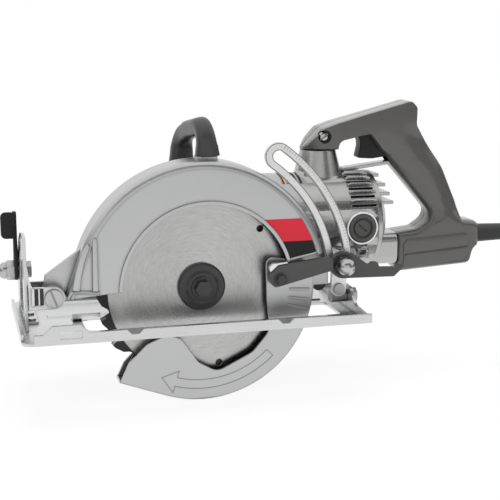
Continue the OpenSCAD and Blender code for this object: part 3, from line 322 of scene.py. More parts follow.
@dataclass(frozen=True)
class Finish:
    """A plain satin finish with grain, smudges, a painted highlight along its edges and painted shade in
    narrow corners where crevice is set; lengths in metres.
    """

    name: str
    colour: Colour
    roughness: float
    metallic: float = 0.0
    spread: float = 0.06
    grain_scale: float = 900.0
    grain_depth: float = 2e-5
    smudge_scale: float = 22.0
    edge_radius: float = 0.0006
    edge_gain: float = 2.0
    edge_lift: float = 0.25
    coat: float = 0.0
    coat_roughness: float = 0.12
    specular: float = 0.5
    # Strength of the painted shade in narrow corners, and its tone as a share of the colour
    crevice: float = 0.0
    crevice_shade_tone: float = 0.12
    edge_highlight_tone: float = 0.9
    smudge_rough: Point2 = (0.88, 1.1)
    grain_rough: Point2 = (-0.03, 0.03)

    def build(self) -> bpy.types.Material:
        """Makes the finish's material.

        Returns:
            The new material.
        """
        material = bpy.data.materials.new(self.name)
        material.use_nodes = True
        material.diffuse_color = (*self.colour, 1.0)
        g = Graph(material.node_tree)
        shader = material.node_tree.nodes["Principled BSDF"]
        coords = g.add("ShaderNodeTexCoord").outputs["Object"]
        colour, rough, height, normal = self.layers(g, coords)
        relief = {"Strength": 1.0, "Distance": self.grain_depth, "Height": height, "Normal": normal}
        shader.inputs["Metallic"].default_value = self.metallic
        shader.inputs["Coat Weight"].default_value = self.coat
        shader.inputs["Coat Roughness"].default_value = self.coat_roughness
        shader.inputs["Specular IOR Level"].default_value = self.specular
        g.tree.links.new(colour, shader.inputs["Base Color"])
        g.tree.links.new(rough, shader.inputs["Roughness"])
        g.tree.links.new(g.add("ShaderNodeBump", relief).outputs[0], shader.inputs["Normal"])
        self.finish_shader(g, shader)
        return material

    def scaled(self, factor: float) -> Colour:
        """Returns the colour times a factor, held at 1."""
        return tuple(min(1.0, c * factor) for c in self.colour)

    def layers(self, g: Graph, coords: Socket) -> tuple[Socket, Socket, Socket, Socket]:
        """Builds what varies over the surface.

        Args:
            g: The material's graph.
            coords: Object coordinates.

        Returns:
            Sockets of the colour, the roughness, the bump height and the normal.
        """
        scales = {"Grain Scale": self.grain_scale, "Smudge Scale": self.smudge_scale}
        grain = g.group(EFFECTS.grain, {"Vector": coords, **scales}).outputs
        edges = g.group(EFFECTS.edges, {"Radius": self.edge_radius, "Gain": self.edge_gain}).outputs
        body = g.mix(grain["Smudge"], self.scaled(1.0 - self.spread), self.scaled(1.0 + self.spread))
        # Painted highlight: the colour turns lighter along edges, as far as edge_lift goes
        edge_highlight = tuple((c + self.edge_highlight_tone) / 2 for c in self.colour)
        colour = g.mix(g.math("MULTIPLY", edges["Edge"], self.edge_lift), body, edge_highlight)
        # Painted shade: the colour darkens in narrow corners that ambient occlusion finds
        if self.crevice:
            shade = g.group(EFFECTS.crevice).outputs["Shade"]
            colour = g.mix(g.math("MULTIPLY", shade, self.crevice), colour, self.scaled(self.crevice_shade_tone))
        low, high = self.smudge_rough
        broad = g.ramp(grain["Smudge"], (0.0, 1.0), (self.roughness * low, self.roughness * high))
        rough = g.math("ADD", broad, g.ramp(grain["Grain"], (0.0, 1.0), self.grain_rough))
        return colour, rough, grain["Grain"], edges["Normal"]

    def finish_shader(self, g: Graph, shader: Node) -> None:
        """A hook for finishes that set more on the shader."""


@dataclass(frozen=True)
class BrushedFinish(Finish):
    """Metal with fine straight brushing along one direction."""

    stretch: Point3 = (30.0, 900.0, 900.0)
    line_share: float = 0.25
    line_tone: float = 0.8
    line_rough: Point2 = (-0.05, 0.05)

    def layers(self, g: Graph, coords: Socket) -> tuple[Socket, Socket, Socket, Socket]:
        """Adds brushed lines to the plain layers.

        Args:
            g: The material's graph.
            coords: Object coordinates.

        Returns:
            The same sockets as Finish.layers.
        """
        colour, rough, height, normal = Finish.layers(self, g, coords)
        line = g.group(EFFECTS.brush, {"Vector": coords, "Stretch": self.stretch}).outputs["Line"]
        colour = g.mix(g.math("MULTIPLY", line, self.line_share), colour, self.scaled(self.line_tone))
        rough = g.math("ADD", rough, g.ramp(line, (0.0, 1.0), self.line_rough))
        return colour, rough, g.math("MULTIPLY", g.math("ADD", line, height), 0.5), normal


@dataclass(frozen=True)
class BladeFinish(Finish):
    """Ground blade plate: circular brushing round the arbor and a dark rim at the teeth."""

    centre: Point3 = (0.0, 0.0, LAYOUT.arbor_z * MM)
    fine_scale: Point2 = (2600.0, 1.4)
    fine_share: float = 0.3
    fine_tone: float = 0.72
    fine_rough: Point2 = (-0.04, 0.04)
    wide_scale: Point2 = (620.0, 5.0)
    wide_share: float = 0.55
    wide_tone: float = 0.62
    rim: Point2 = (0.0815, 0.0821)
    rim_colour: Colour = (0.055, 0.055, 0.057)
    rim_rough: float = 0.2
    anisotropy: float = 0.65

    def layers(self, g: Graph, coords: Socket) -> tuple[Socket, Socket, Socket, Socket]:
        """Builds rings from the distance to the arbor.

        Args:
            g: The material's graph.
            coords: Object coordinates.

        Returns:
            The same sockets as Finish.layers.
        """
        colour, rough, _, normal = Finish.layers(self, g, coords)
        local = g.vector("SUBTRACT", coords, self.centre).outputs[0]
        parts = g.add("ShaderNodeSeparateXYZ", {0: local}).outputs
        flat = g.add("ShaderNodeCombineXYZ", {0: parts[0], 2: parts[2]}).outputs[0]
        radius = g.vector("LENGTH", flat).outputs["Value"]
        angle = g.math("ARCTAN2", parts[2], parts[0])
        lines = []
        for out, turn in (self.fine_scale, self.wide_scale):
            values = {0: g.math("MULTIPLY", radius, out), 1: g.math("MULTIPLY", angle, turn)}
            rings = g.add("ShaderNodeCombineXYZ", values).outputs[0]
            lines.append(g.group(EFFECTS.brush, {"Vector": rings}).outputs["Line"])
        fine, wide = lines
        colour = g.mix(g.math("MULTIPLY", fine, self.fine_share), colour, self.scaled(self.fine_tone))
        colour = g.mix(g.math("MULTIPLY", wide, self.wide_share), colour, self.scaled(self.wide_tone))
        edge = g.ramp(radius, self.rim)
        colour = g.mix(edge, colour, self.rim_colour)
        rough = g.math("ADD", rough, g.ramp(fine, (0.0, 1.0), self.fine_rough))
        return colour, g.math("ADD", rough, g.math("MULTIPLY", edge, self.rim_rough)), fine, normal

    def finish_shader(self, g: Graph, shader: Node) -> None:
        """Stretches the highlights across the brushing.

        Args:
            g: The material's graph.
            shader: Its Principled BSDF.
        """
        tangent = g.add("ShaderNodeTangent", direction_type="RADIAL", axis="Y")
        shader.inputs["Anisotropic"].default_value = self.anisotropy
        g.tree.links.new(tangent.outputs[0], shader.inputs["Tangent"])


FINISHES: dict[str, Finish] = {
    finish.name: finish
    for finish in (
        Finish("guard_cast", (0.535, 0.537, 0.54), 0.36, metallic=1.0, spread=0.04, grain_scale=1400.0,
            grain_depth=6e-6, smudge_scale=14.0, edge_radius=0.0009, edge_lift=0.3, crevice=0.75),
        Finish("motor_cast", (0.48, 0.478, 0.475), 0.28, metallic=1.0, spread=0.04, grain_scale=1300.0,
            grain_depth=3e-6, smudge_scale=16.0, edge_radius=0.0009, edge_lift=0.3, crevice=0.8),
        BrushedFinish("foot_plate", (0.65, 0.652, 0.655), 0.26, metallic=1.0, spread=0.04,
            grain_scale=1200.0, grain_depth=3e-6, smudge_scale=18.0, edge_lift=0.3, crevice=0.75),
        BrushedFinish("scale_plate", (0.82, 0.82, 0.815), 0.4, metallic=1.0, spread=0.03,
            grain_scale=1200.0, grain_depth=3e-6, smudge_scale=24.0, edge_radius=0.0004, edge_lift=0.2,
            crevice=0.3),
        BladeFinish("blade_plate", (0.56, 0.556, 0.552), 0.3, metallic=1.0, spread=0.05, grain_scale=1500.0,
            grain_depth=6e-6, smudge_scale=20.0, edge_radius=0.0002, edge_gain=1.0, edge_lift=0.1),
        Finish("bright_steel", (0.76, 0.76, 0.76), 0.14, metallic=1.0, spread=0.03, grain_depth=6e-7,
            smudge_scale=40.0, edge_radius=0.0005, edge_lift=0.2),
        Finish("nut_steel", (0.5, 0.5, 0.5), 0.24, metallic=1.0, spread=0.05, grain_depth=2e-6,
            smudge_scale=40.0, edge_radius=0.0005, edge_lift=0.3, crevice=0.6),
        Finish("plain_steel", (0.42, 0.42, 0.42), 0.36, metallic=1.0, spread=0.08, grain_scale=1200.0,
            grain_depth=8e-6, smudge_scale=40.0, edge_radius=0.0004, edge_lift=0.35),
        Finish("dark_steel", (0.05, 0.05, 0.051), 0.32, metallic=0.55, spread=0.1, grain_scale=1000.0,
            grain_depth=6e-6, smudge_scale=40.0, edge_gain=2.5, edge_lift=0.3, crevice=0.6),
        Finish("grip_plastic", (0.062, 0.06, 0.0575), 0.4, grain_scale=1500.0, smudge_scale=14.0,
            edge_radius=0.0008, edge_lift=0.06, coat=1.0, crevice=0.6),
        Finish("black_plastic", (0.011, 0.011, 0.011), 0.38, spread=0.1, grain_scale=1300.0,
            smudge_scale=20.0, edge_lift=0.05, specular=0.28),
        Finish("lever_paint", (0.046, 0.045, 0.044), 0.4, spread=0.08, grain_scale=1200.0,
            smudge_scale=24.0, edge_radius=0.0007, edge_gain=2.5, edge_lift=0.12, coat=0.2, crevice=0.6),
        Finish("front_grip", (0.031, 0.03, 0.0295), 0.42, spread=0.08, grain_scale=1400.0,
            smudge_scale=20.0, edge_radius=0.0007, edge_lift=0.06, coat=0.15, crevice=0.6),
        Finish("cord_rubber", (0.024, 0.024, 0.025), 0.5, spread=0.12, grain_scale=800.0, grain_depth=3e-5,
            smudge_scale=30.0, edge_lift=0.03),
        Finish("copper_wire", (0.8, 0.34, 0.13), 0.32, metallic=0.7, spread=0.12, grain_scale=700.0,
            grain_depth=4e-5, smudge_scale=60.0, edge_radius=0.0004, edge_lift=0.3),
        Finish("bronze", (0.5, 0.33, 0.14), 0.36, metallic=1.0, spread=0.08, grain_depth=1e-5,
            smudge_scale=40.0, edge_radius=0.0004, edge_lift=0.3),
        Finish("brass", (0.66, 0.5, 0.22), 0.28, metallic=1.0, grain_depth=1e-5, smudge_scale=40.0,
            edge_radius=0.0004, edge_lift=0.3),
        Finish("carbon", (0.02, 0.02, 0.02), 0.7, spread=0.1, grain_scale=1500.0, grain_depth=3e-5,
            smudge_scale=40.0, edge_radius=0.0003, edge_gain=1.0, edge_lift=0.05),
        BrushedFinish("laminations", (0.3, 0.3, 0.31), 0.4, metallic=1.0, spread=0.08, smudge_scale=40.0,
            edge_radius=0.0004, edge_lift=0.2, stretch=(2200.0, 40.0, 40.0)),
        Finish("tip_carbide", (0.3, 0.3, 0.31), 0.3, metallic=1.0, spread=0.08, grain_scale=2000.0,
            grain_depth=4e-6, smudge_scale=60.0, edge_radius=0.0002, edge_gain=1.0, edge_lift=0.2),
        Finish("turned_rim", (0.8, 0.8, 0.8), 0.24, metallic=1.0, spread=0.04, grain_scale=1400.0,
            grain_depth=4e-6, smudge_scale=40.0, edge_radius=0.0004, edge_lift=0.2),
        Finish("label_red", (0.6, 0.022, 0.042), 0.36, spread=0.04, grain_scale=1600.0, grain_depth=4e-6,
            smudge_scale=30.0, edge_radius=0.0002, edge_gain=1.0, edge_lift=0.02, specular=0.2),
        Finish("label_black", (0.012, 0.012, 0.012), 0.36, spread=0.05, grain_scale=1600.0,
            grain_depth=4e-6, smudge_scale=30.0, edge_radius=0.0002, edge_gain=1.0, edge_lift=0.02,
            specular=0.2),
        Finish("mark_ink", (0.03, 0.03, 0.032), 0.55, spread=0.05, grain_scale=1600.0, grain_depth=4e-6,
            smudge_scale=60.0, edge_radius=0.0001, edge_gain=1.0, edge_lift=0.0),
        Finish("mark_line", (0.3, 0.3, 0.3), 0.45, metallic=1.0, spread=0.05, grain_scale=1600.0,
            grain_depth=4e-6, smudge_scale=60.0, edge_radius=0.0001, edge_gain=1.0, edge_lift=0.0),
    )
}
MATERIALS: dict[str, bpy.types.Material] = {name: finish.build() for name, finish in FINISHES.items()}

# The CAD nodes in each finish
FINISH_NODES: dict[str, tuple[str, ...]] = {
    "guard_cast": ("upper_guard", "lower_guard"),
    "motor_cast": ("gear_case", "gear_cover", "motor_housing", "motor_end", "trigger_guard"),
    "foot_plate": ("foot", "bevel_quadrant", "tilt_bracket", "quadrant_rivets"),
    "scale_plate": ("depth_link",),
    "blade_plate": ("blade",),
    "dark_steel": ("outer_flange", "inner_flange", "blade_bolt", "lift_screw"),
    "lever_paint": ("lift_lever", "depth_lever"),
    "black_plastic": ("bevel_lever", "lock_button", "trigger", "switch_body", "fan", "brush_caps"),
    "nut_steel": ("bevel_nut", "depth_pin"),
    "bright_steel": ("arbor_bearings", "armature_bearings", "arbor_shaft", "armature_shaft"),
    "plain_steel": ("worm", "guard_spring", "guard_ring", "oil_plug", "cover_screws", "guard_screws",
        "aux_screws", "motor_screws", "handle_screws", "trigger_pin", "bevel_bolt", "depth_bolt",
        "rear_yoke", "pivot_bolt"),
    "bronze": ("worm_wheel",),
    "cord_rubber": ("guard_bumper", "strain_relief", "plug", "cord", "cord_coil"),
    "laminations": ("field_core", "armature_core"),
    "copper_wire": ("field_coils", "commutator"),
    "carbon": ("brushes",),
    "brass": ("brush_tubes",),
    "grip_plastic": ("handle_left", "handle_right", "aux_handle"),
}
NODE_FINISH = {node: finish for finish, nodes in FINISH_NODES.items() for node in nodes}


# Mesh helpers


def share(value: float, low: float, high: float) -> float:
    """Returns how far a value is from low to high, held between 0 and 1."""
    return max(0.0, min(1.0, (value - low) / (high - low)))


def eased(k: float) -> float:
    """Returns a share that starts and ends gently."""
    return k * k * (3 - 2 * k)


def polar(radius: float, degrees: float, centre: Point2 = (0.0, 0.0)) -> Point2:
    """Returns a place at a radius and an angle round a centre."""
    a = math.radians(degrees)
    return centre[0] + radius * math.cos(a), centre[1] + radius * math.sin(a)


def quarter(steps: int) -> list[Point2]:
    """Returns (cosine, sine) pairs over a quarter turn."""
    return [polar(1.0, 90 * k / steps) for k in range(steps + 1)]


def unit2(x: float, y: float) -> Point2:
    """Returns the direction of a plane vector."""
    n = math.hypot(x, y)
    return x / n, y / n


def rounded(corners: Sequence[Corner], steps: int) -> list[Point2]:
    """Joins corner points into one outline with round corners.

    Args:
        corners: (x, y, radius) of each corner, in order.
        steps: How many pieces each corner's arc has.

    Returns:
        The outline's points.
    """
    out: list[Point2] = []
    for i, (x, y, r) in enumerate(corners):
        if r == 0:
            out.append((x, y))
            continue
        ax, ay, _ = corners[i - 1]
        bx, by, _ = corners[(i + 1) % len(corners)]
        u, v = unit2(ax - x, ay - y), unit2(bx - x, by - y)
        half = math.acos(max(-1.0, min(1.0, u[0] * v[0] + u[1] * v[1]))) / 2
        m = unit2(u[0] + v[0], u[1] + v[1])
        cx, cy = x + m[0] * r / math.sin(half), y + m[1] * r / math.sin(half)
        reach = r / math.tan(half)
        start = math.atan2(y + u[1] * reach - cy, x + u[0] * reach - cx)
        end = math.atan2(y + v[1] * reach - cy, x + v[0] * reach - cx)
        turn = (end - start + math.pi) % (2 * math.pi) - math.pi
        angles = [start + turn * k / steps for k in range(steps + 1)]
        out += [(cx + r * math.cos(a), cy + r * math.sin(a)) for a in angles]
    return out


def inset(points: Sequence[Point2], d: float) -> list[Point2]:
    """Moves a counter-clockwise outline inwards.

    Args:
        points: The outline's points.
        d: How far it moves.

    Returns:
        As many points on the moved outline.
    """
    out: list[Point2] = []
    for i, (x, y) in enumerate(points):
        ax, ay = points[i - 1]
        bx, by = points[(i + 1) % len(points)]
        e1, e2 = unit2(x - ax, y - ay), unit2(bx - x, by - y)
        n1, n2 = (-e1[1], e1[0]), (-e2[1], e2[0])
        s = d / (1 + n1[0] * n2[0] + n1[1] * n2[1])
        out.append((x + s * (n1[0] + n2[0]), y + s * (n1[1] + n2[1])))
    return out


def linked(name: str, data: bpy.types.ID) -> Piece:
    """Makes an object in the scene.

    Args:
        name: The object's name.
        data: What it shows.

    Returns:
        The new object.
    """
    obj = bpy.data.objects.new(name, data)
    bpy.context.scene.collection.objects.link(obj)
    return obj


def mesh_object(name: str, points: Iterable[Sequence[float]], faces: Iterable[Sequence[int]]) -> Piece:
    """Makes a mesh object at the origin.

    Args:
        name: The piece's name.
        points: Corner points in millimetres.
        faces: Corner numbers of each face.

    Returns:
        The linked object, with its faces turned outwards.
    """
    mesh = bpy.data.meshes.new(name)
    mesh.from_pydata([tuple(c * MM for c in p) for p in points], [], [tuple(f) for f in faces])
    bm = bmesh.new()
    bm.from_mesh(mesh)
    bmesh.ops.recalc_face_normals(bm, faces=bm.faces)
    bm.to_mesh(mesh)
    bm.free()
    return linked(name, mesh)


def loft(name: str, rings: Sequence[Sequence[Sequence[float]]], closed: bool = False) -> Piece:
    """Joins rings of points into one skin, with flat ends unless it is closed.

    Args:
        name: The piece's name.
        rings: Rings with the same number of points, in millimetres.
        closed: True if the last ring meets the first one.

    Returns:
        The new object.
    """
    m, n = len(rings[0]), len(rings)
    faces: list[tuple[int, ...]] = []
    for k in range(n if closed else n - 1):
        a, b = k * m, (k + 1) % n * m
        faces += [(a + i, a + (i + 1) % m, b + (i + 1) % m, b + i) for i in range(m)]
    if not closed:
        faces += [tuple(range(m))[::-1], tuple(range((n - 1) * m, n * m))]
    return mesh_object(name, [p for one in rings for p in one], faces)


def prism(name: str, outline: Sequence[Point2], y0: float, y1: float) -> Piece:
    """Returns an outline in X and Z, thickened from y0 to y1, in millimetres."""
    return loft(name, [[(x, y, z) for x, z in outline] for y in (y0, y1)])


def lathe(
    name: str, profile: Sequence[Point2], place: Callable[[float, float, float], Point3], steps: int = 48
) -> Piece:
    """Turns a profile of (radius, along) points into a closed skin.

    Args:
        name: The piece's name.
        profile: Points from one end to the other, in millimetres.
        place: Puts (along, across, up) into the saw's frame.
        steps: Points in each ring.

    Returns:
        The new object.
    """
    turns = [360 * i / steps for i in range(steps)]
    return loft(name, [[place(h, *polar(r, turn)) for turn in turns] for r, h in profile])


def sweep(
    name: str, path: Sequence[Point3], section: Sequence[Point2], widths: Sequence[float] | None = None
) -> Piece:
    """Sweeps one section along points without twist; its first axis starts towards the near side.

    Args:
        name: The piece's name.
        path: The middle line, in millimetres.
        section: Points of the section round the line.
        widths: How much the section's second axis is stretched at each point, if it is.

    Returns:
        The new object.
    """
    line = [Vector(p) for p in path]
    across = Vector((0, -1, 0))
    rings = []
    for i, p in enumerate(line):
        t = (line[min(i + 1, len(line) - 1)] - line[max(i - 1, 0)]).normalized()
        across = (across - across.dot(t) * t).normalized()
        other = t.cross(across)
        wide = widths[i] if widths else 1.0
        rings.append([tuple(p + x * across + y * wide * other) for x, y in section])
    return loft(name, rings)


def ring(name: str, profile: Sequence[Point2], centre: Point2, steps: int = 64) -> Piece:
    """Turns a closed profile round an axis along Y.

    Args:
        name: The piece's name.
        profile: (radius, Y) points, in millimetres.
        centre: The axis in X and Z.
        steps: Sections round the axis.

    Returns:
        The new object.
    """
    sections = []
    for i in range(steps):
        spots = [(*polar(r, 360 * i / steps, centre), y) for r, y in profile]
        sections.append([(x, y, z) for x, z, y in spots])
    return loft(name, sections, closed=True)


def cushion(name: str, outline: Sequence[Point2], y0: float, y1: float, edge: float) -> Piece:
    """Makes a plate in X and Z with a rounded outer edge.

    Args:
        name: The piece's name.
        outline: The plate's outline, in millimetres.
        y0: Where its seat is.
        y1: Where its outer face is.
        edge: The radius of the outer edge.

    Returns:
        The new object.
    """
    side = 1.0 if y1 > y0 else -1.0
    rings = [[(x, y0, z) for x, z in outline]]
    for c, s in quarter(EDGE_STEPS):
        rings.append([(x, y1 - side * edge * (1 - s), z) for x, z in inset(outline, edge * (1 - c))])
    return loft(name, rings)


def pillow(name: str, outline: Sequence[Point2], y0: float, y1: float, edge: float) -> Piece:
    """Makes a plate in X and Z with both edges rounded.

    Args:
        name: The piece's name.
        outline: The plate's outline, in millimetres.
        y0: Where its near face is.
        y1: Where its far face is.
        edge: The radius of both edges.

    Returns:
        The new object.
    """
    rings = []
    for c, s in quarter(EDGE_STEPS):
        rings.append([(x, y0 + edge * (1 - c), z) for x, z in inset(outline, edge * (1 - s))])
    rings += [[(x, y0 + y1 - y, z) for x, y, z in r] for r in reversed(rings)]
    return loft(name, rings)


def merge(name: str, parts: Sequence[Piece]) -> Piece:
    """Makes one piece of several.

    Args:
        name: The piece's name.
        parts: The pieces that go into it, which are deleted.

    Returns:
        The new object.
    """
    mesh = bpy.data.meshes.new(name)
    bm = bmesh.new()
    for part in parts:
        bm.from_mesh(part.data)
        bpy.data.objects.remove(part)
    bm.to_mesh(mesh)
    bm.free()
    return linked(name, mesh)


def node_copy(name: str, node: str) -> Piece:
    """Copies a CAD node's mesh and merges its loose corners.

    Args:
        name: The copy's name.
        node: The CAD node.

    Returns:
        The new object.
    """
    mesh = bpy.data.meshes.new(name)
    bm = bmesh.new()
    bm.from_mesh(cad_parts[node].data)
    bmesh.ops.remove_doubles(bm, verts=bm.verts, dist=WELD)
    bm.to_mesh(mesh)
    bm.free()
    return linked(name, mesh)


def cut(obj: Piece, tool: Piece) -> None:
    """Takes a tool's volume out of a piece.

    Args:
        obj: The piece.
        tool: A closed shape, which is deleted.
    """
    change = obj.modifiers.new("cut", "BOOLEAN")
    change.operation, change.solver, change.object = "DIFFERENCE", "EXACT", tool
    settle(obj)
    bpy.data.objects.remove(tool)


def settle(obj: Piece) -> None:
    """Makes the modified mesh the piece's own and removes its modifiers.

    Args:
        obj: A piece with modifiers.
    """
    graph = bpy.context.evaluated_depsgraph_get()
    mesh = bpy.data.meshes.new_from_object(obj.evaluated_get(graph), depsgraph=graph)
    obj.modifiers.clear()
    old, obj.data = obj.data, mesh
    name = old.name
    bpy.data.meshes.remove(old)
    mesh.name = name


def dress(
    obj: Piece, finish: str, body: Body, replaces: Sequence[str] = (),
    sharp: float | None = SHARP,
) -> Piece:
    """Gives a piece its shading, its material, its body and the nodes that it stands for.

    Args:
        obj: The finished piece.
        finish: The name of its finish.
        body: The body that it rides on.
        replaces: The CAD nodes that it stands for.
        sharp: The angle past which its edges stay sharp, or None for flat faces.

    Returns:
        The same object.
    """
    if sharp is not None:
        obj.data.shade_smooth()
        obj.data.set_sharp_from_angle(angle=math.radians(sharp))
    obj.data.materials.clear()
    obj.data.materials.append(MATERIALS[finish])
    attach(obj, body.value)
    if replaces:
        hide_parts(*replaces)
    LOG.info("%s on %s in %s", obj.name, body.value, finish)
    return obj


# Geometry Nodes


class Trees:
    """Geometry Nodes trees for what repeats on the saw, each built once."""

    def __init__(self) -> None:
        """Builds every tree."""
        self.ring = self._ring()
        self.ticks = self._ticks()
        self.wires = self._wires()

    @staticmethod
    def _start(name: str, inputs: Sequence[tuple[str, str, object]]) -> tuple[Graph, Node, Node]:
        """Makes an empty tree with a geometry in and out, named inputs and a material.

        Args:
            name: The tree's name.
            inputs: (name, socket type, default) of each input of its own.

        Returns:
            The tree's graph, its input node and its output node.
        """
        every = [("Geometry", GEOMETRY, None), *inputs, ("Material", MATERIAL, None)]
        return new_tree("GeometryNodeTree", name, every, [("Geometry", GEOMETRY)])

    @staticmethod
    def _end(g: Graph, gin: Node, gout: Node, shape: Socket) -> Tree:
        """Realizes the copies, sets their material and closes the tree.

        Args:
            g: The tree's graph.
            gin: Its input node.
            gout: Its output node.
            shape: The geometry with its copies.

        Returns:
            The finished tree.
        """
        real = g.add("GeometryNodeRealizeInstances", {"Geometry": shape}).outputs[0]
        values = {"Geometry": real, "Material": gin.outputs["Material"]}
        return g.join(gout, Geometry=g.add("GeometryNodeSetMaterial", values).outputs[0])

    def _ring(self) -> Tree:
        """Builds the tree that copies a shape round an axis through a centre.

        Returns:
            The tree.
        """
        g, gin, gout = self._start(
            "copies_round_axis",
            [
                ("Count", WHOLE, 24),
                ("Step", FLOAT, 0.1),
                ("Start", FLOAT, 0.0),
                ("Axis", VECTOR, (0.0, 1.0, 0.0)),
                ("Centre", VECTOR, (0.0, 0.0, 0.0)),
            ],
        )
        given = gin.outputs
        still = {"Count": given["Count"], "Offset": (0.0, 0.0, 0.0)}
        row = g.add("GeometryNodeMeshLine", still, mode="OFFSET").outputs[0]
        index = g.add("GeometryNodeInputIndex").outputs[0]
        angle = g.math("ADD", g.math("MULTIPLY", index, given["Step"]), given["Start"])
        turn = g.add("FunctionNodeAxisAngleToRotation", {"Axis": given["Axis"], "Angle": angle}).outputs[0]
        values = {"Points": row, "Instance": given["Geometry"], "Rotation": turn}
        copies = g.add("GeometryNodeInstanceOnPoints", values).outputs[0]
        moved = g.add("GeometryNodeTransform", {"Geometry": copies, "Translation": given["Centre"]})
        return self._end(g, gin, gout, moved.outputs[0])

    def _ticks(self) -> Tree:
        """Builds the tree that sets graduation marks along a line, some of them long.

        Returns:
            The tree.
        """
        g, gin, gout = self._start(
            "marks_on_line",
            [
                ("Count", WHOLE, 20),
                ("Long Every", WHOLE, 5),
                ("Width", FLOAT, 0.0005),
                ("Length", FLOAT, 0.003),
                ("Height", FLOAT, 0.0003),
                ("Up", VECTOR, (0.0, -1.0, 0.0)),
            ],
        )
        given, long_more = gin.outputs, 0.8
        line = g.add("GeometryNodeMeshToCurve", {"Mesh": given["Geometry"]}).outputs[0]
        marks = g.add("GeometryNodeResampleCurve", {"Curve": line, "Count": given["Count"]}).outputs[0]
        align = "FunctionNodeAlignRotationToVector"
        lay = g.add(align, {"Vector": g.add("GeometryNodeInputTangent").outputs[0]}, axis="X").outputs[0]
        stand = g.add(align, {"Rotation": lay, "Vector": given["Up"]}, axis="Z", pivot_axis="X").outputs[0]
        rest = g.math("MODULO", g.add("GeometryNodeInputIndex").outputs[0], given["Long Every"])
        reach = g.math("ADD", 1.0, g.math("MULTIPLY", g.math("LESS_THAN", rest, 0.5), long_more))
        sides = {0: given["Width"], 1: given["Length"], 2: given["Height"]}
        size = g.add("ShaderNodeCombineXYZ", sides).outputs[0]
        mark = g.add("GeometryNodeMeshCube", {"Size": size}).outputs[0]
        grow = g.add("ShaderNodeCombineXYZ", {0: 1.0, 1: reach, 2: 1.0}).outputs[0]
        values = {"Points": marks, "Instance": mark, "Rotation": stand, "Scale": grow}
        return self._end(g, gin, gout, g.add("GeometryNodeInstanceOnPoints", values).outputs[0])

    def _wires(self) -> Tree:
        """Builds the tree that lays wires side by side along a line.

        Returns:
            The tree.
        """
        g, gin, gout = self._start(
            "wires_on_line",
            [("Count", WHOLE, 12), ("Pitch", VECTOR, (0.0012, 0.0, 0.0)), ("Radius", FLOAT, 0.0006)],
        )
        given, sides = gin.outputs, 10
        line = g.add("GeometryNodeMeshToCurve", {"Mesh": given["Geometry"]}).outputs[0]
        circle = {"Resolution": sides, "Radius": given["Radius"]}
        section = g.add("GeometryNodeCurvePrimitiveCircle", circle).outputs[0]
        values = {"Curve": line, "Profile Curve": section, "Fill Caps": True}
        wire = g.add("GeometryNodeCurveToMesh", values).outputs[0]
        beside = {"Count": given["Count"], "Offset": given["Pitch"]}
        row = g.add("GeometryNodeMeshLine", beside, mode="OFFSET").outputs[0]
        copies = g.add("GeometryNodeInstanceOnPoints", {"Points": row, "Instance": wire})
        return self._end(g, gin, gout, copies.outputs[0])


TREES = Trees()


def run_tree(obj: Piece, tree: Tree, finish: str, **values: object) -> Piece:
    """Runs a tree on a piece and keeps the result as its own mesh.

    Args:
        obj: The piece that is the tree's geometry.
        tree: One of the shared trees.
        finish: The name of the copies' finish.
        values: Values of the tree's inputs, with _ for a space in a name.

    Returns:
        The same object with a plain mesh.
    """
    change = obj.modifiers.new(tree.name, "NODES")
    change.node_group = tree
    wanted = {name.replace("_", " ").title(): value for name, value in values.items()}
    wanted["Material"] = MATERIALS[finish]
    for item in tree.interface.items_tree:
        if item.in_out == "INPUT" and item.name in wanted:
            change[item.identifier] = wanted[item.name]
    settle(obj)
    return obj


def line_object(name: str, points: Sequence[Point3]) -> Piece:
    """Makes a bare line of edges.

    Args:
        name: The object's name.
        points: The line's points, in millimetres.

    Returns:
        The new object.
    """
    mesh = bpy.data.meshes.new(name)
    edges = [(i, i + 1) for i in range(len(points) - 1)]
    mesh.from_pydata([tuple(c * MM for c in p) for p in points], edges, [])
    return linked(name, mesh)


# Sub-assemblies


@dataclass(frozen=True)
class Lamp:
    """A square softbox, with its place and size in metres and its power in watts."""

    name: str
    place: Point3
    size: float
    power: float

    def build(self, target: Point3) -> None:
        """Makes the lamp and keeps it out of reflections.

        Args:
            target: The point that it faces.
        """
        data = bpy.data.lights.new(self.name, "AREA")
        data.shape, data.size, data.energy = "SQUARE", self.size, self.power
        lamp = linked(self.name, data)
        turn = (Vector(self.place) - Vector(target)).to_track_quat("Z", "Y")
        lamp.matrix_world = Matrix.Translation(self.place) @ turn.to_matrix().to_4x4()
        lamp.visible_glossy = False


@dataclass(frozen=True)
class Card:
    """An upright grey card that only shows in reflections, in metres."""

    name: str
    start: Point2
    end: Point2
    low: float
    high: float
    shade: float

    def build(self) -> None:
        """Makes the card with a plain glow."""
        ends = ((self.start, self.low), (self.end, self.low), (self.end, self.high), (self.start, self.high))
        card = mesh_object(self.name, [(x / MM, y / MM, z / MM) for (x, y), z in ends], [(0, 1, 2, 3)])
        material = bpy.data.materials.new(self.name)
        g = blank(material)
        glow = g.add("ShaderNodeEmission", {"Color": WHITE, "Strength": self.shade})
        g.add("ShaderNodeOutputMaterial", {"Surface": glow.outputs[0]})
        card.data.materials.append(material)
        card.visible_camera = card.visible_diffuse = False
        card.visible_shadow = card.visible_transmission = False


FLOOR = LAYOUT.floor_z * MM


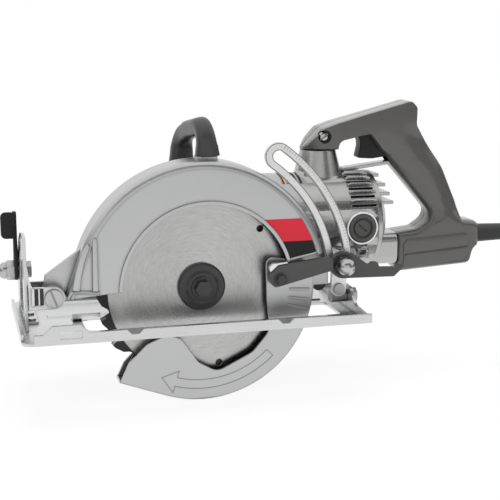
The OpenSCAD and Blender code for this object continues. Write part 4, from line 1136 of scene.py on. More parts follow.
@dataclass
class Studio:
    """Camera, floor and soft light, in metres."""

    camera_at: Point3 = (-0.21046, -1.02132, 0.26525)
    right: Point3 = (0.9665, -0.2567, 0.0)
    up: Point3 = (0.0516, 0.1944, 0.9796)
    back: Point3 = (-0.2515, -0.9467, 0.2011)
    lens: float = 83.16
    sensor: float = 36.0
    clip: Point2 = (0.05, 50.0)
    world_light: float = 0.5
    floor_half: float = 6.0
    floor_gap: float = 0.2
    floor_tone: float = 0.9
    glow_range: Point2 = (0.5, 2.2)
    glow_share: Point2 = (0.9, 1.0)
    target: Point3 = (0.05, 0.0, 0.05)
    lamps: tuple[Lamp, ...] = (
        Lamp("key_light", (-1.1, -1.5, 1.5), 1.3, 14.0),
        Lamp("fill_light", (1.5, -1.0, 0.8), 1.0, 5.0),
        Lamp("top_light", (0.1, 0.3, 2.0), 1.6, 40.0),
    )
    cards: tuple[Card, ...] = (
        Card("front_card", (-2.2, -2.2), (0.9, -2.2), FLOOR, 1.4, 0.85),
        Card("side_card", (0.9, -2.2), (2.6, -2.2), FLOOR, 1.4, 0.2),
        Card("high_card", (-2.2, -2.2), (2.6, -2.2), 1.4, 3.0, 0.06),
        Card("left_card", (-2.3, -2.2), (-2.3, 2.2), FLOOR, 0.9, 0.3),
        Card("right_card", (2.6, -2.2), (2.6, 2.2), FLOOR, 0.8, 0.12),
        Card("back_card", (-2.3, 2.4), (2.6, 2.4), FLOOR, 0.4, 0.95),
    )

    def build(self) -> None:
        """Makes the camera, then the floor, the world, the lamps and the cards."""
        self._camera()
        self._floor()
        self._world()
        for lamp in self.lamps:
            lamp.build(self.target)
        for card in self.cards:
            card.build()
        bpy.context.scene.view_settings.view_transform = "Standard"

    def _camera(self) -> None:
        """Puts the camera where the photograph was taken from."""
        data = bpy.data.cameras.new("camera")
        data.lens, data.sensor_width = self.lens, self.sensor
        data.clip_start, data.clip_end = self.clip
        camera = linked("camera", data)
        turn = Matrix((self.right, self.up, self.back)).transposed().to_quaternion()
        camera.matrix_world = Matrix.Translation(self.camera_at) @ turn.to_matrix().to_4x4()
        bpy.context.scene.camera = camera

    @staticmethod
    def _seen(g: Graph) -> Socket:
        """Finds the rays that see a surface, not those that only light it.

        Args:
            g: The graph of the floor or the world.

        Returns:
            1 for camera, glossy and transmission rays.
        """
        path = g.add("ShaderNodeLightPath").outputs
        direct = g.math("MAXIMUM", path["Is Camera Ray"], path["Is Glossy Ray"])
        return g.math("MAXIMUM", direct, path["Is Transmission Ray"])

    def _floor(self) -> None:
        """Makes the pale floor, which keeps the saw's shadow."""
        h, z, tone = self.floor_half / MM, LAYOUT.floor_z - self.floor_gap, self.floor_tone
        floor = mesh_object("floor", [(-h, -h, z), (h, -h, z), (h, h, z), (-h, h, z)], [(0, 1, 2, 3)])
        material = bpy.data.materials.new("pale_floor")
        g = blank(material)
        paint = g.add("ShaderNodeBsdfDiffuse", {"Color": (tone, tone, tone, 1.0)}).outputs[0]
        glow = g.add("ShaderNodeEmission", {"Color": WHITE, "Strength": 1.0}).outputs[0]
        far = g.vector("LENGTH", g.add("ShaderNodeTexCoord").outputs["Object"]).outputs["Value"]
        seen = g.math("MULTIPLY", self._seen(g), g.ramp(far, self.glow_range, self.glow_share))
        both = g.add("ShaderNodeMixShader", {0: seen, 1: paint, 2: glow}).outputs[0]
        g.add("ShaderNodeOutputMaterial", {"Surface": both})
        floor.data.materials.append(material)

    def _world(self) -> None:
        """Makes the white surroundings, dimmer where they only light the saw."""
        world = bpy.data.worlds.new("studio")
        bpy.context.scene.world = world
        g = blank(world)
        strength = g.ramp(self._seen(g), (0.0, 1.0), (self.world_light, 1.0))
        ground = g.add("ShaderNodeBackground", {"Color": WHITE, "Strength": strength}).outputs[0]
        g.add("ShaderNodeOutputWorld", {"Surface": ground})


@dataclass
class SupplyCord:
    """The mains lead from the strain relief to its plug, with its stored coil."""

    diameter: float = 8.4
    start: Point3 = (345.0, 0.0, 53.8)
    coil_at: Point2 = (367.0, -76.0)
    coil_in: float = 34.5
    gap: float = 0.8
    turns: float = 6.5
    cross: float = 0.25
    entry: float = 34.0
    tail: float = 50.0
    steps: int = 40
    route_steps: int = 6
    route: tuple[Point3, ...] = (
        (366, 0, 51.5), (388, -3, 42), (411, -14, 24), (430, -36, 1),
        (440, -64, -22), (441, -92, -40), (434, -116, -53), (420, -133, -61),
    )
    plug_sleeve: tuple[Point2, ...] = ((POLE, 0.0), (5.4, 0.0))
    plug_ribs: int = 4
    rib_pitch: float = 3.2
    rib_out: Point2 = (5.9, 0.25)
    rib_core: Point2 = (5.2, 0.2)
    rib_edges: tuple[float, ...] = (1.2, 3.0, 3.4, 4.2)
    plug_shape: tuple[Point2, ...] = (
        (7.2, 14.8), (11.4, 18.6), (12.7, 20.6), (13.0, 22.6), (12.2, 26.0), (12.0, 30.0), (12.2, 34.0),
        (13.0, 38.0), (13.0, 44.0), (12.6, 45.4), (11.5, 46.0), (POLE, 46.0),
    )
    pin_shape: tuple[Point2, ...] = (
        (POLE, 45.5), (2.3, 45.5), (2.3, 62.5), (1.8, 64.2), (0.8, 65.0), (POLE, 65.0),
    )
    pin_drop: float = 6.0
    blade_shape: tuple[Corner, ...] = ((45.5, 1.0, 0), (64.0, 1.0, 1.2), (64.0, 7.0, 1.2), (45.5, 7.0, 0))
    blade_half: float = 0.75
    blade_off: float = 6.0

    def coil_point(self, u: float) -> Vector:
        """Follows the coil, whose lower layer winds in and whose upper layer winds out.

        Args:
            u: How many turns have been wound.

        Returns:
            The middle line there, in millimetres.
        """
        pitch, half = self.diameter + self.gap, self.turns / 2
        d = abs(u - half)
        out = d if d > self.cross else d * d / (2 * self.cross) + self.cross / 2
        x, y = polar(self.coil_in + pitch * out, -90 - 360 * u, self.coil_at)
        layer = eased(share(u, half - self.cross, half + self.cross))
        return Vector((x, y, LAYOUT.floor_z + self.diameter / 2 + pitch * layer))

    def line(self) -> list[Vector]:
        """Draws the whole middle line, smooth through the route's points.

        Returns:
            The line's points, in millimetres.
        """
        d = Vector((self.diameter, 0, 0))
        s, first, last = Vector(self.start), self.coil_point(0.0), self.coil_point(self.turns)
        knots = [s, s + d, *map(Vector, self.route), first + Vector((self.entry, 0, 0)), first + d, first]
        out: list[Vector] = []
        for i in range(len(knots) - 1):
            p0, p1, p2 = knots[max(i - 1, 0)], knots[i], knots[i + 1]
            t1, t2 = (p2 - p0) / 2, (knots[min(i + 2, len(knots) - 1)] - p1) / 2
            for k in range(self.route_steps):
                f = k / self.route_steps
                near, far = 2 * f**3 - 3 * f**2 + 1, 3 * f**2 - 2 * f**3
                out.append(p1 * near + t1 * (f**3 - 2 * f**2 + f) + p2 * far + t2 * (f**3 - f**2))
        count = round(self.turns * self.steps)
        out += [self.coil_point(self.turns * i / count) for i in range(count + 1)]
        return out + [last + Vector((x, 0, 0)) for x in (self.diameter, 0.5 * self.tail, self.tail)]

    def build(self) -> None:
        """Makes the lead as one open curve and the plug on its end."""
        points = self.line()
        data = bpy.data.curves.new("supply_cord", "CURVE")
        data.dimensions = "3D"
        data.bevel_depth = self.diameter / 2 * MM
        data.bevel_resolution = 5
        data.use_fill_caps = True
        spline = data.splines.new("POLY")
        spline.points.add(len(points) - 1)
        for p, v in zip(spline.points, points):
            p.co = (*(v * MM), 1.0)
        spline.use_smooth = True
        cord = linked("supply_cord", data)
        dress(cord, "cord_rubber", Body.SAW, ["cord", "cord_coil"], sharp=None)
        plug = self._plug(points[-1])

    def _plug(self, at: Vector) -> list[Piece]:
        """Makes the moulded plug and its metal pins.

        Args:
            at: The end of the lead, in millimetres.

        Returns:
            The plug's pieces.
        """
        profile = list(self.plug_sleeve)
        for i in range(self.plug_ribs):
            out, core = (first + more * i for first, more in (self.rib_out, self.rib_core))
            heights = [h + self.rib_pitch * i for h in self.rib_edges]
            profile += zip((out, out, core, core), heights)
        profile += self.plug_shape
        body = lathe("plug_body", profile, lambda h, y, z: (at.x + h, at.y + y, at.z + z), steps=40)
        dress(body, "cord_rubber", Body.SAW, ["plug"])
        low = at.z - self.pin_drop
        pin = lathe(
            "plug_ground_pin", self.pin_shape, lambda h, y, z: (at.x + h, at.y + y, low + z), steps=20
        )
        dress(pin, "brass", Body.SAW)
        outline = [(at.x + x, at.z + z) for x, z in rounded(self.blade_shape, steps=4)]
        blades = []
        for side, off in (("near", -self.blade_off), ("far", self.blade_off)):
            y0, y1 = at.y + off - self.blade_half, at.y + off + self.blade_half
            blade = prism(f"plug_blade_{side}", outline, y0, y1)
            blades.append(dress(blade, "brass", Body.SAW, sharp=None))
        return [body, pin, *blades]


@dataclass
class RearHandle:
    """The two moulded halves of the rear handle, in the motor's own frame, with the trigger."""

    half: float = 17.0
    seam: float = 0.1
    groove: float = 0.35
    round_in: float = 5.0
    round_deep: float = 9.0
    round_steps: int = 8
    net: float = 4.0
    snap: float = 1e-7
    slim: float = 0.1
    slim_z: Point2 = (-4.0, 26.0)
    slim_x: Point2 = (80.0, 100.0)
    crisp: float = 0.85
    crisp_z: Point2 = (50.0, 75.0)
    crown_share: float = 0.42
    crown_reach: float = 17.0
    crown_x: Point2 = (112.0, 136.0)
    crown_low: Point2 = (-8.0, 12.0)
    crown_high: Point2 = (92.0, 64.0)
    corners: tuple[Corner, ...] = (
        (44.2, 67.2, 0), (77, 67.2, 0), (78, 75, 5), (99, 79.5, 4), (108, 80.8, 3), (119, 66, 14),
        (126.5, 59.5, 3), (131.5, 51, 8), (175, 0.6, 10), (158, -10.5, 9), (135.5, -13, 0), (135.5, -45, 0),
        (140, -51.5, 6), (213.5, -47.3, 7), (217, -33, 10), (222, -29.5, 4), (222, -6, 7), (204, -3, 5),
        (199, 14, 40), (184, 48, 60), (154, 88.5, 9), (154.5, 105, 6), (148.5, 111.5, 5), (76, 92.6, 12),
        (62, 88, 8), (51.5, 77.5, 8), (44.2, 69.5, 0),
    )
    collar: Point2 = (61.0, 17.2)
    pocket: tuple[Point2, ...] = ((97, 70), (97, 89), (113, 95), (144, 103), (144, 56), (134, 50))
    pocket_half: float = 6.9
    pocket_past: float = 2.0
    gland_r: float = 9.5
    gland_x: Point2 = (279.0, 290.0)
    gland_drop: float = 20.0
    bore_y: Point2 = (11.6, 22.0)
    screw_at: Point2 = (62.5, 80.0)
    screw_bore: float = 6.2
    screw_shape: tuple[Point2, ...] = (
        (POLE, -11.4), (5.0, -11.4), (5.0, -13.0), (4.6, -14.2), (3.6, -15.1), (1.9, -15.6), (POLE, -15.7),
    )
    screw_slot: tuple[Point2, ...] = ((-5.0, -0.55), (5.0, -0.55), (5.0, 0.55), (-5.0, 0.55))
    slot_turn: float = 35.0
    slot_y: Point2 = (-17.0, -14.3)
    far_bolts: tuple[Point2, ...] = ((66, 80), (164, 60), (153, -28), (190, -28))
    far_bore: float = 4.9
    trigger_shape: tuple[Corner, ...] = (
        (99.5, 86, 1), (99.3, 79, 1.5), (101.2, 70.5, 14), (98.4, 58.3, 1.8), (113, 57.3, 10), (127, 59, 3),
        (131, 68, 12), (131, 79, 2), (131.5, 88, 2),
    )
    trigger_half: float = 6.5
    trigger_edge: float = 0.9
    upper_panel: tuple[Corner, ...] = (
        (142.5, -33.6, 1.5), (209, -28.6, 3), (209, -16.2, 3), (146, -19.5, 4), (142.5, -24, 2),
    )
    lower_panel: tuple[Corner, ...] = (
        (142.5, -34.6, 1.5), (142.5, -43.5, 3), (146, -46.6, 3), (205, -43.3, 4), (210, -36.5, 4),
        (210, -29.6, 1.5),
    )
    panel_in: float = 1.0
    panel_out: float = 0.9
    panel_edge: float = 0.6

    def waist(self, x: float, z: float) -> float:
        """Finds how wide the handle is at a place.

        Args:
            x: The place along the handle.
            z: Its height.

        Returns:
            The share of the full width.
        """
        slim = self.slim * eased(share(z, *self.slim_z)) * share(x, *self.slim_x)
        middle, r = self.collar
        return (1 - slim) * math.sqrt(max(0.0, r**2 - max(0.0, middle - x) ** 2)) / r

    def softness(self, z: float) -> float:
        """Returns how far the edges are rounded at a height, as a share; the top bar is crisper."""
        return 1.0 - self.crisp * share(z, *self.crisp_z)

    def rings(self, side: int) -> list[list[Point3]]:
        """Draws one half's skin from the joint outwards.

        Args:
            side: -1 for the near half and 1 for the far one.

        Returns:
            The skin's rings, in the saw's frame.
        """
        outline = rounded(self.corners, self.round_steps)
        steps = [(self.seam, self.groove), (self.seam + self.groove, 0.0), (self.half - self.round_deep, 0.0)]
        for c, s in quarter(self.round_steps)[1:]:
            steps.append((self.half - self.round_deep * (1 - s), self.round_in * (1 - c)))
        out = []
        for y, d in steps:
            line = []
            for (x, z), (u, v) in zip(outline, inset(outline, d)):
                k = self.softness(z)
                line.append((LAYOUT.motor_x + x + (u - x) * k, side * y, LAYOUT.motor_z + z + (v - z) * k))
            out.append(line)
        return out

    @staticmethod
    def _placed(points: Iterable[Sequence[float]]) -> list[tuple[float, ...]]:
        """Returns outline points, with or without a radius, moved into the saw's frame."""
        return [(LAYOUT.motor_x + x, LAYOUT.motor_z + z, *rest) for x, z, *rest in points]

    @staticmethod
    def _gap(x: float, z: float, a: Point2, b: Point2) -> float:
        """Measures how far a place is from a straight piece of the outline.

        Args:
            x: The place along the handle.
            z: Its height.
            a: Where the piece starts.
            b: Where it ends.

        Returns:
            The distance, in millimetres.
        """
        u, v = b[0] - a[0], b[1] - a[1]
        f = max(0.0, min(1.0, ((x - a[0]) * u + (z - a[1]) * v) / max(1e-9, u * u + v * v)))
        return math.hypot(x - a[0] - f * u, z - a[1] - f * v)

    def crown(self, x: float, z: float, outline: Sequence[Point2]) -> float:
        """Finds how full the grip is at a place; it falls away towards its edges.

        Args:
            x: The place along the handle.
            z: Its height.
            outline: The handle's outline.

        Returns:
            The share of the full width.
        """
        limits = (share(x, *self.crown_x), share(z, *self.crown_low), share(z, *self.crown_high))
        most = self.crown_share * math.prod(eased(k) for k in limits)
        if not most:
            return 1.0
        gap = min(self._gap(x, z, a, b) for a, b in zip(outline, [*outline[1:], outline[0]]))
        return 1 - most * max(0.0, 1 - gap / self.crown_reach) ** 2

    def _form(self, half: Piece) -> None:
        """Cuts one half's skin into a fine net, then gives it its waist and its crown.

        Args:
            half: The half's straight-sided skin.
        """
        bm = bmesh.new()
        bm.from_mesh(half.data)
        bmesh.ops.triangulate(bm, faces=[f for f in bm.faces if len(f.verts) > 4])
        for axis, base in ((0, LAYOUT.motor_x), (2, LAYOUT.motor_z)):
            spots = [v.co[axis] / MM - base for v in bm.verts]
            normal = Vector((axis == 0, 0.0, axis == 2))
            for k in range(1, int((max(spots) - min(spots)) / self.net)):
                place = normal * (base + min(spots) + k * self.net) * MM
                geometry = [*bm.verts, *bm.edges, *bm.faces]
                bmesh.ops.bisect_plane(bm, geom=geometry, dist=self.snap, plane_co=place, plane_no=normal)
        outline = rounded(self.corners, self.round_steps)
        for v in bm.verts:
            x, z = v.co.x / MM - LAYOUT.motor_x, v.co.z / MM - LAYOUT.motor_z
            v.co.y *= self.waist(x, z) * self.crown(x, z, outline)
        bm.to_mesh(half.data)
        bm.free()

    def build(self) -> None:
        """Makes both halves with the trigger's pocket and the gland's seat cut out."""
        pocket, gland_z = self._placed(self.pocket), LAYOUT.motor_z - self.gland_drop
        for name, side, node in (("handle_near", -1, "handle_left"), ("handle_far", 1, "handle_right")):
            half = loft(name, self.rings(side))
            self._form(half)
            depth = sorted((-side * self.pocket_past, side * self.pocket_half))
            cut(half, prism("pocket_tool", pocket, *depth))
            seat = [(self.gland_r, x) for x in self.gland_x]
            cut(half, lathe("gland_tool", seat, lambda h, y, z: (h, y, gland_z + z)))
            for at in [self.screw_at] if side < 0 else self.far_bolts:
                cut(half, self._bore(at, side, self.screw_bore if side < 0 else self.far_bore))
            dress(half, "grip_plastic", Body.SAW, [node])
            self._panels(side)
        self._neck_screw()
        self._trigger()

    def _turned(self, name: str, profile: Sequence[Point2], at: Point2) -> Piece:
        """Turns a profile of (radius, Y) points round an axis across the handle.

        Args:
            name: The piece's name.
            profile: Points from one end to the other, in millimetres.
            at: The axis, in the handle's own frame.

        Returns:
            The new object.
        """
        x, z = LAYOUT.motor_x + at[0], LAYOUT.motor_z + at[1]
        return lathe(name, profile, lambda h, u, v: (x + u, h, z + v), steps=40)

    def _bore(self, at: Point2, side: int, r: float) -> Piece:
        """Returns a tool for a screw's round recess in one half's outer face."""
        return self._turned("bore_tool", [(r, side * y) for y in self.bore_y], at)

    def _neck_screw(self) -> None:
        """Puts the pan head into the near half's recess above the neck."""
        head = self._turned("neck_screw", self.screw_shape, self.screw_at)
        (x, z), (c, s) = self.screw_at, polar(1.0, self.slot_turn)
        slot = self._placed((x + c * u - s * v, z + s * u + c * v) for u, v in self.screw_slot)
        cut(head, prism("slot_tool", slot, *self.slot_y))
        dress(head, "nut_steel", Body.SAW)

    def _trigger(self) -> None:
        """Makes the trigger with its hollowed front."""
        outline = rounded(self._placed(self.trigger_shape), steps=6)
        trigger = pillow("trigger_moulded", outline, -self.trigger_half, self.trigger_half, self.trigger_edge)
        dress(trigger, "black_plastic", Body.TRIGGER, ["trigger"])

    def _panels(self, side: int) -> None:
        """Lays the two raised side panels on one half's lower body.

        Args:
            side: -1 for the near half and 1 for the far one.
        """
        name = "near" if side < 0 else "far"
        y0, y1 = side * (self.half - self.panel_in), side * (self.half + self.panel_out)
        for label, corners in (("upper", self.upper_panel), ("lower", self.lower_panel)):
            outline = rounded(self._placed(corners), steps=5)
            panel = cushion(f"handle_panel_{label}_{name}", outline, y0, y1, self.panel_edge)
            dress(panel, "grip_plastic", Body.SAW)


@dataclass
class FrontHandle:
    """The arched front handle across the gear case."""

    x: float = 6.0
    near_y: float = -58.0
    far_y: float = 23.0
    pad_z: float = 145.2
    post_z: float = 127.8
    foot_rise: tuple[float, ...] = (0.0, 4.0, 8.0)
    near_bend: float = 15.0
    near_rise: float = 9.0
    near_turn: Point2 = (180.0, -9.0)
    bar_long: float = 45.0
    bar_fall: float = 7.0
    bar_steps: int = 8
    far_bend: Point2 = (20.0, 17.0)
    far_rise: float = 15.0
    far_turn: Point2 = (84.0, -8.0)
    bend_points: int = 11
    post_rise: tuple[float, ...] = (10.0, 5.0, 0.0)
    half_w: float = 10.5
    half_t: float = 8.0
    squareness: float = 0.7
    sides: int = 40
    waist: float = 0.74
    end_flare: float = 0.28
    far_flare: float = 0.12
    far_part: Point2 = (0.7, 1.0)
    lean: Point2 = (1.5, -6.5)

    def path(self) -> list[Point2]:
        """Draws the grip's middle line from the near pad over the arch to the far post.

        Returns:
            The line's points in Y and Z, in millimetres.
        """
        bend, (across, up) = self.near_bend, self.far_bend
        near = (self.near_y + bend, self.pad_z + self.near_rise)
        out = [(self.near_y, self.pad_z + rise) for rise in self.foot_rise]
        both = (self.near_turn, self.far_turn)
        turns = [[start + step * k for k in range(self.bend_points)] for start, step in both]
        out += [polar(bend, turn, near) for turn in turns[0]]
        for k in range(1, self.bar_steps):
            f = k / self.bar_steps
            out.append((near[0] + self.bar_long * f, near[1] + bend - self.bar_fall * f))
        for c, s in (polar(1.0, turn) for turn in turns[1]):
            out.append((self.far_y - across + across * c, self.post_z + self.far_rise + up * s))
        return out + [(self.far_y, self.post_z + rise) for rise in self.post_rise]

    def build(self) -> None:
        """Sweeps the grip's rounded section along its arch."""
        path = self.path()
        section = []
        for c, s in (polar(1.0, 360 * (k + 0.5) / self.sides) for k in range(self.sides)):
            t, w = (math.copysign(abs(v) ** self.squareness, v) for v in (c, s))
            section.append((self.half_t * t, self.half_w * w))
        line, widths = [], []
        for i, (y, z) in enumerate(path):
            f = i / (len(path) - 1)
            line.append((self.x + self.lean[0] + self.lean[1] * f, y, z))
            flare = self.end_flare * (2 * f - 1) ** 4 + self.far_flare * share(f, *self.far_part)
            widths.append(self.waist + flare)
        grip = sweep("front_grip", line, section, widths)
        dress(grip, "front_grip", Body.SAW, ["aux_handle"])


@dataclass
class BladeTeeth:
    """Carbide tips on the blade's teeth."""

    count: int = 24
    radius: float = 92.0
    under: float = 0.05
    tip_long: float = 5.2
    tip_thick: float = 1.7
    tip_wide: float = 2.3
    lean: float = 0.6
    seat: float = 0.1
    land: Point2 = (0.25, 0.35)

    def build(self) -> None:
        """Copies one tip round the arbor."""
        r0, r1 = self.radius - self.tip_long, self.radius - self.under
        t, w, (land, back) = self.tip_thick, self.tip_wide / 2, self.land
        outline = [(r0, -self.lean - self.seat), (r0, t - self.lean), (r1 - land, t + back), (r1, 0.0)]
        tip = prism("blade_tips", outline, -w, w)
        run_tree(
            tip, TREES.ring, "tip_carbide", count=self.count, step=-2 * math.pi / self.count, start=0.0,
            axis=(0.0, 1.0, 0.0), centre=(0.0, LAYOUT.blade_y * MM, LAYOUT.arbor_z * MM),
        )
        dress(tip, "tip_carbide", Body.BLADE, sharp=None)


@dataclass
class GuardLabel:
    """A bare two-coloured plate on the upper guard's near face."""

    lift: float = 0.25
    inner: float = 79.5
    outer: float = 104.3
    near_face: float = 15.1
    top: float = 90.4
    middle: float = 70.6
    foot: Point2 = (55.3, 60.0)
    steps: int = 12

    def build(self) -> None:
        """Makes the upper and the lower field of the plate."""
        y1 = LAYOUT.blade_y - self.near_face
        (inner_z, outer_z), middle = self.foot, self.middle
        upper = self._side(self.outer, middle, self.top) + self._side(self.inner, self.top, middle)
        lower = self._side(self.outer, outer_z, middle) + self._side(self.inner, middle, inner_z)
        for name, finish, outline in (("upper", "label_red", upper), ("lower", "label_black", lower)):
            dress(prism(f"label_{name}", outline, y1 - self.lift, y1), finish, Body.SAW)

    def _side(self, r: float, z0: float, z1: float) -> list[Point2]:
        """Returns a curved side of the plate round the arbor, from one height to another."""
        heights = [z0 + (z1 - z0) * k / self.steps for k in range(self.steps + 1)]
        return [(math.sqrt(r * r - (z - LAYOUT.arbor_z) ** 2), z) for z in heights]


@dataclass
class Scales:
    """Graduation marks on the depth link and on the bevel quadrant, and dark lines along the link's edges as
    painted edge shade.
    """

    link_ratio: float = 0.5
    depth_max: float = 25.0
    depth_clear: float = 0.1
    ahead: float = 0.1
    link_half: float = 12.0
    link_slot: float = 5.25
    link_front: float = 2.0
    rim_wide: float = 0.8
    rim_y: Point2 = (-0.15, 0.1)
    rim_steps: int = 16
    depth_marks: int = 41
    mark_in: float = 2.4
    sink: float = 0.05
    quadrant_r: float = 68.2
    quadrant_x: float = -152.0
    quadrant_start: float = 28.0
    bevel_marks: int = 46
    long_every: int = 5
    depth_mark: Point3 = (0.2, 1.8, 0.3)
    bevel_mark: Point3 = (0.3, 2.2, 0.3)

    def link_point(self, t: float) -> Vector:
        """Returns the middle of the link's slot at a tilt of t degrees."""
        p = self._turn(Vector(LAYOUT.clamp), Vector(LAYOUT.pin), t)
        return self._turn(p, Vector(LAYOUT.link), self.link_ratio * t)

    def link_frame(self, t: float) -> tuple[Vector, Vector, Vector]:
        """Finds how the link's slot runs.

        Args:
            t: The tilt, in degrees.

        Returns:
            The slot's middle there, the direction along it and the direction across it.
        """
        p = self.link_point(t)
        along = (self.link_point(t + self.ahead) - p).normalized()
        return p, along, Vector((-along.y, along.x))

    @staticmethod
    def _turn(p: Vector, c: Vector, degrees: float) -> Vector:
        """Returns a plane point turned about another."""
        d, (cos, sin) = p - c, polar(1.0, degrees)
        return c + Vector((d.x * cos - d.y * sin, d.x * sin + d.y * cos))

    def build(self) -> None:
        """Lays the link's dark edge lines and sets both rows of marks."""
        self._rims()
        points, last = [], self.depth_marks - 1
        for k in range(self.depth_marks):
            t = self.depth_max * (self.depth_clear + (1 - self.depth_clear) * k / last)
            p, _, across = self.link_frame(t)
            edge = p - across * (self.link_half - self.mark_in)
            points.append((edge.x, LAYOUT.blade_y - self.link_front - self.sink, edge.y))
        marks = self._marks("depth_marks", points, "mark_line", self.depth_mark, (0.0, -1.0, 0.0))
        dress(marks, "mark_line", Body.DEPTH_LINK, sharp=None)
        centre = (LAYOUT.bevel_y, LAYOUT.bevel_z)
        spots = [polar(self.quadrant_r, self.quadrant_start + k, centre) for k in range(self.bevel_marks)]
        arc = [(self.quadrant_x - self.sink, y, z) for y, z in spots]
        marks = self._marks("bevel_marks", arc, "mark_ink", self.bevel_mark, (-1.0, 0.0, 0.0))
        dress(marks, "mark_ink", Body.FOOT, sharp=None)

    def _marks(self, name: str, line: Sequence[Point3], finish: str, size: Point3, up: Point3) -> Piece:
        """Sets a row of marks, one on each point of a line.

        Args:
            name: The row's name.
            line: The points, in millimetres.
            finish: The name of the marks' finish.
            size: A short mark's width, length and height.
            up: The direction that the marks face.

        Returns:
            The new object.
        """
        sizes = dict(zip(("width", "length", "height"), (side * MM for side in size)))
        values = {"count": len(line), "long_every": self.long_every, "up": up, **sizes}
        return run_tree(line_object(name, line), TREES.ticks, finish, **values)

    def _rims(self) -> None:
        """Runs one fine dark line along the link's outer edge and one round its slot, as painted edge shade.
        """
        y, w, (low, high) = LAYOUT.blade_y - self.link_front, self.rim_wide / 2, self.rim_y
        section = [(low, -w), (high, -w), (high, w), (low, w)]
        last = self.depth_marks - 1
        frames = [self.link_frame(self.depth_max * k / last) for k in range(self.depth_marks)]
        tip, along, across = frames[-1]
        for name, reach in (("link_rim_outer", self.link_half - w), ("link_rim_slot", self.link_slot + w)):
            right = [p - n * reach for p, _, n in frames]
            left = [p + n * reach for p, _, n in reversed(frames)]
            turns = [polar(1.0, 180 * k / self.rim_steps) for k in range(1, self.rim_steps)]
            end = [tip + reach * (along * s - across * c) for c, s in turns]
            rim = sweep(name, [(v.x, y, v.y) for v in (*right, *end, *left)], section)
            # Dark grey line on the light link: painted shade along its edges
            dress(rim, "mark_line", Body.DEPTH_LINK)


@dataclass
class GuardArrow:
    """The plain direction arrow pressed into the lower guard."""

    near_face: float = 10.5
    width: float = 0.5
    sink: float = 0.1
    proud: float = 0.2
    outer: float = 90.0
    inner: float = 82.0
    start: float = -46.0
    end: float = -107.0
    head_wide: float = 6.0
    head_turn: float = 9.0
    steps: int = 24

    def build(self) -> None:
        """Draws the arrow's outline as a fine raised line."""
        turns = [self.start + (self.end - self.start) * k / self.steps for k in range(self.steps + 1)]
        places = [(self.outer, turn) for turn in turns]
        places.append((self.outer + self.head_wide, self.end))
        places.append(((self.outer + self.inner) / 2, self.end - self.head_turn))
        places.append((self.inner - self.head_wide, self.end))
        places += [(self.inner, turn) for turn in reversed(turns)]
        line = [polar(r, turn, (0.0, LAYOUT.arbor_z)) for r, turn in places]
        face = LAYOUT.blade_y - self.near_face
        low, high = face + self.sink, face - self.proud
        rings = []
        for a, b in zip(inset(line, -self.width / 2), inset(line, self.width / 2)):
            rings.append([(a[0], low, a[1]), (a[0], high, a[1]), (b[0], high, b[1]), (b[0], low, b[1])])
        dress(loft("guard_arrow", rings, closed=True), "mark_line", Body.LOWER_GUARD, sharp=None)


@dataclass
class DomeNut:
    """The bright dome nut on the depth lever."""

    radius: float = 9.65
    face_y: float = -75.0
    steps: int = 60
    no_limit: float = 99.0
    seat: float = 0.05
    flats: float = 5.3
    chamfer: tuple[Point2, ...] = ((0.7, 6.3), (0.2, 6.5))
    dome_share: float = 0.85
    dome_z: Point2 = (6.3, 7.4)
    dome_steps: int = 16
    pole: float = 0.03

    def outline(self, limit: float, height: float) -> list[Point3]:
        """Draws the hexagon at a height above its seat.

        Args:
            limit: The radius that it is held inside.
            height: The height, in millimetres.

        Returns:
            The outline's points.
        """
        out = []
        for turn in (360 * i / self.steps for i in range(self.steps)):
            flat = self.radius * math.cos(math.radians(30)) / math.cos(math.radians(turn % 60 - 30))
            x, z = polar(min(limit, flat), turn, LAYOUT.clamp)
            out.append((x, self.face_y - height, z))
        return out

    def build(self) -> None:
        """Makes the chamfered hexagon and the dome on it."""
        dome = self.radius * self.dome_share
        rings = [self.outline(self.no_limit, height) for height in (self.seat, self.flats)]
        rings += [self.outline(dome + more, height) for more, height in self.chamfer]
        dress(loft("depth_nut_base", rings), "dark_steel", Body.DEPTH_LEVER, sharp=CRISP)
        rings = [self.outline(dome, height) for height in self.dome_z]
        for c, s in quarter(self.dome_steps)[1:]:
            rings.append(self.outline(max(self.pole, dome * c), self.dome_z[1] + dome * s))
        dress(loft("depth_nut_dome", rings), "nut_steel", Body.DEPTH_LEVER, sharp=CRISP)


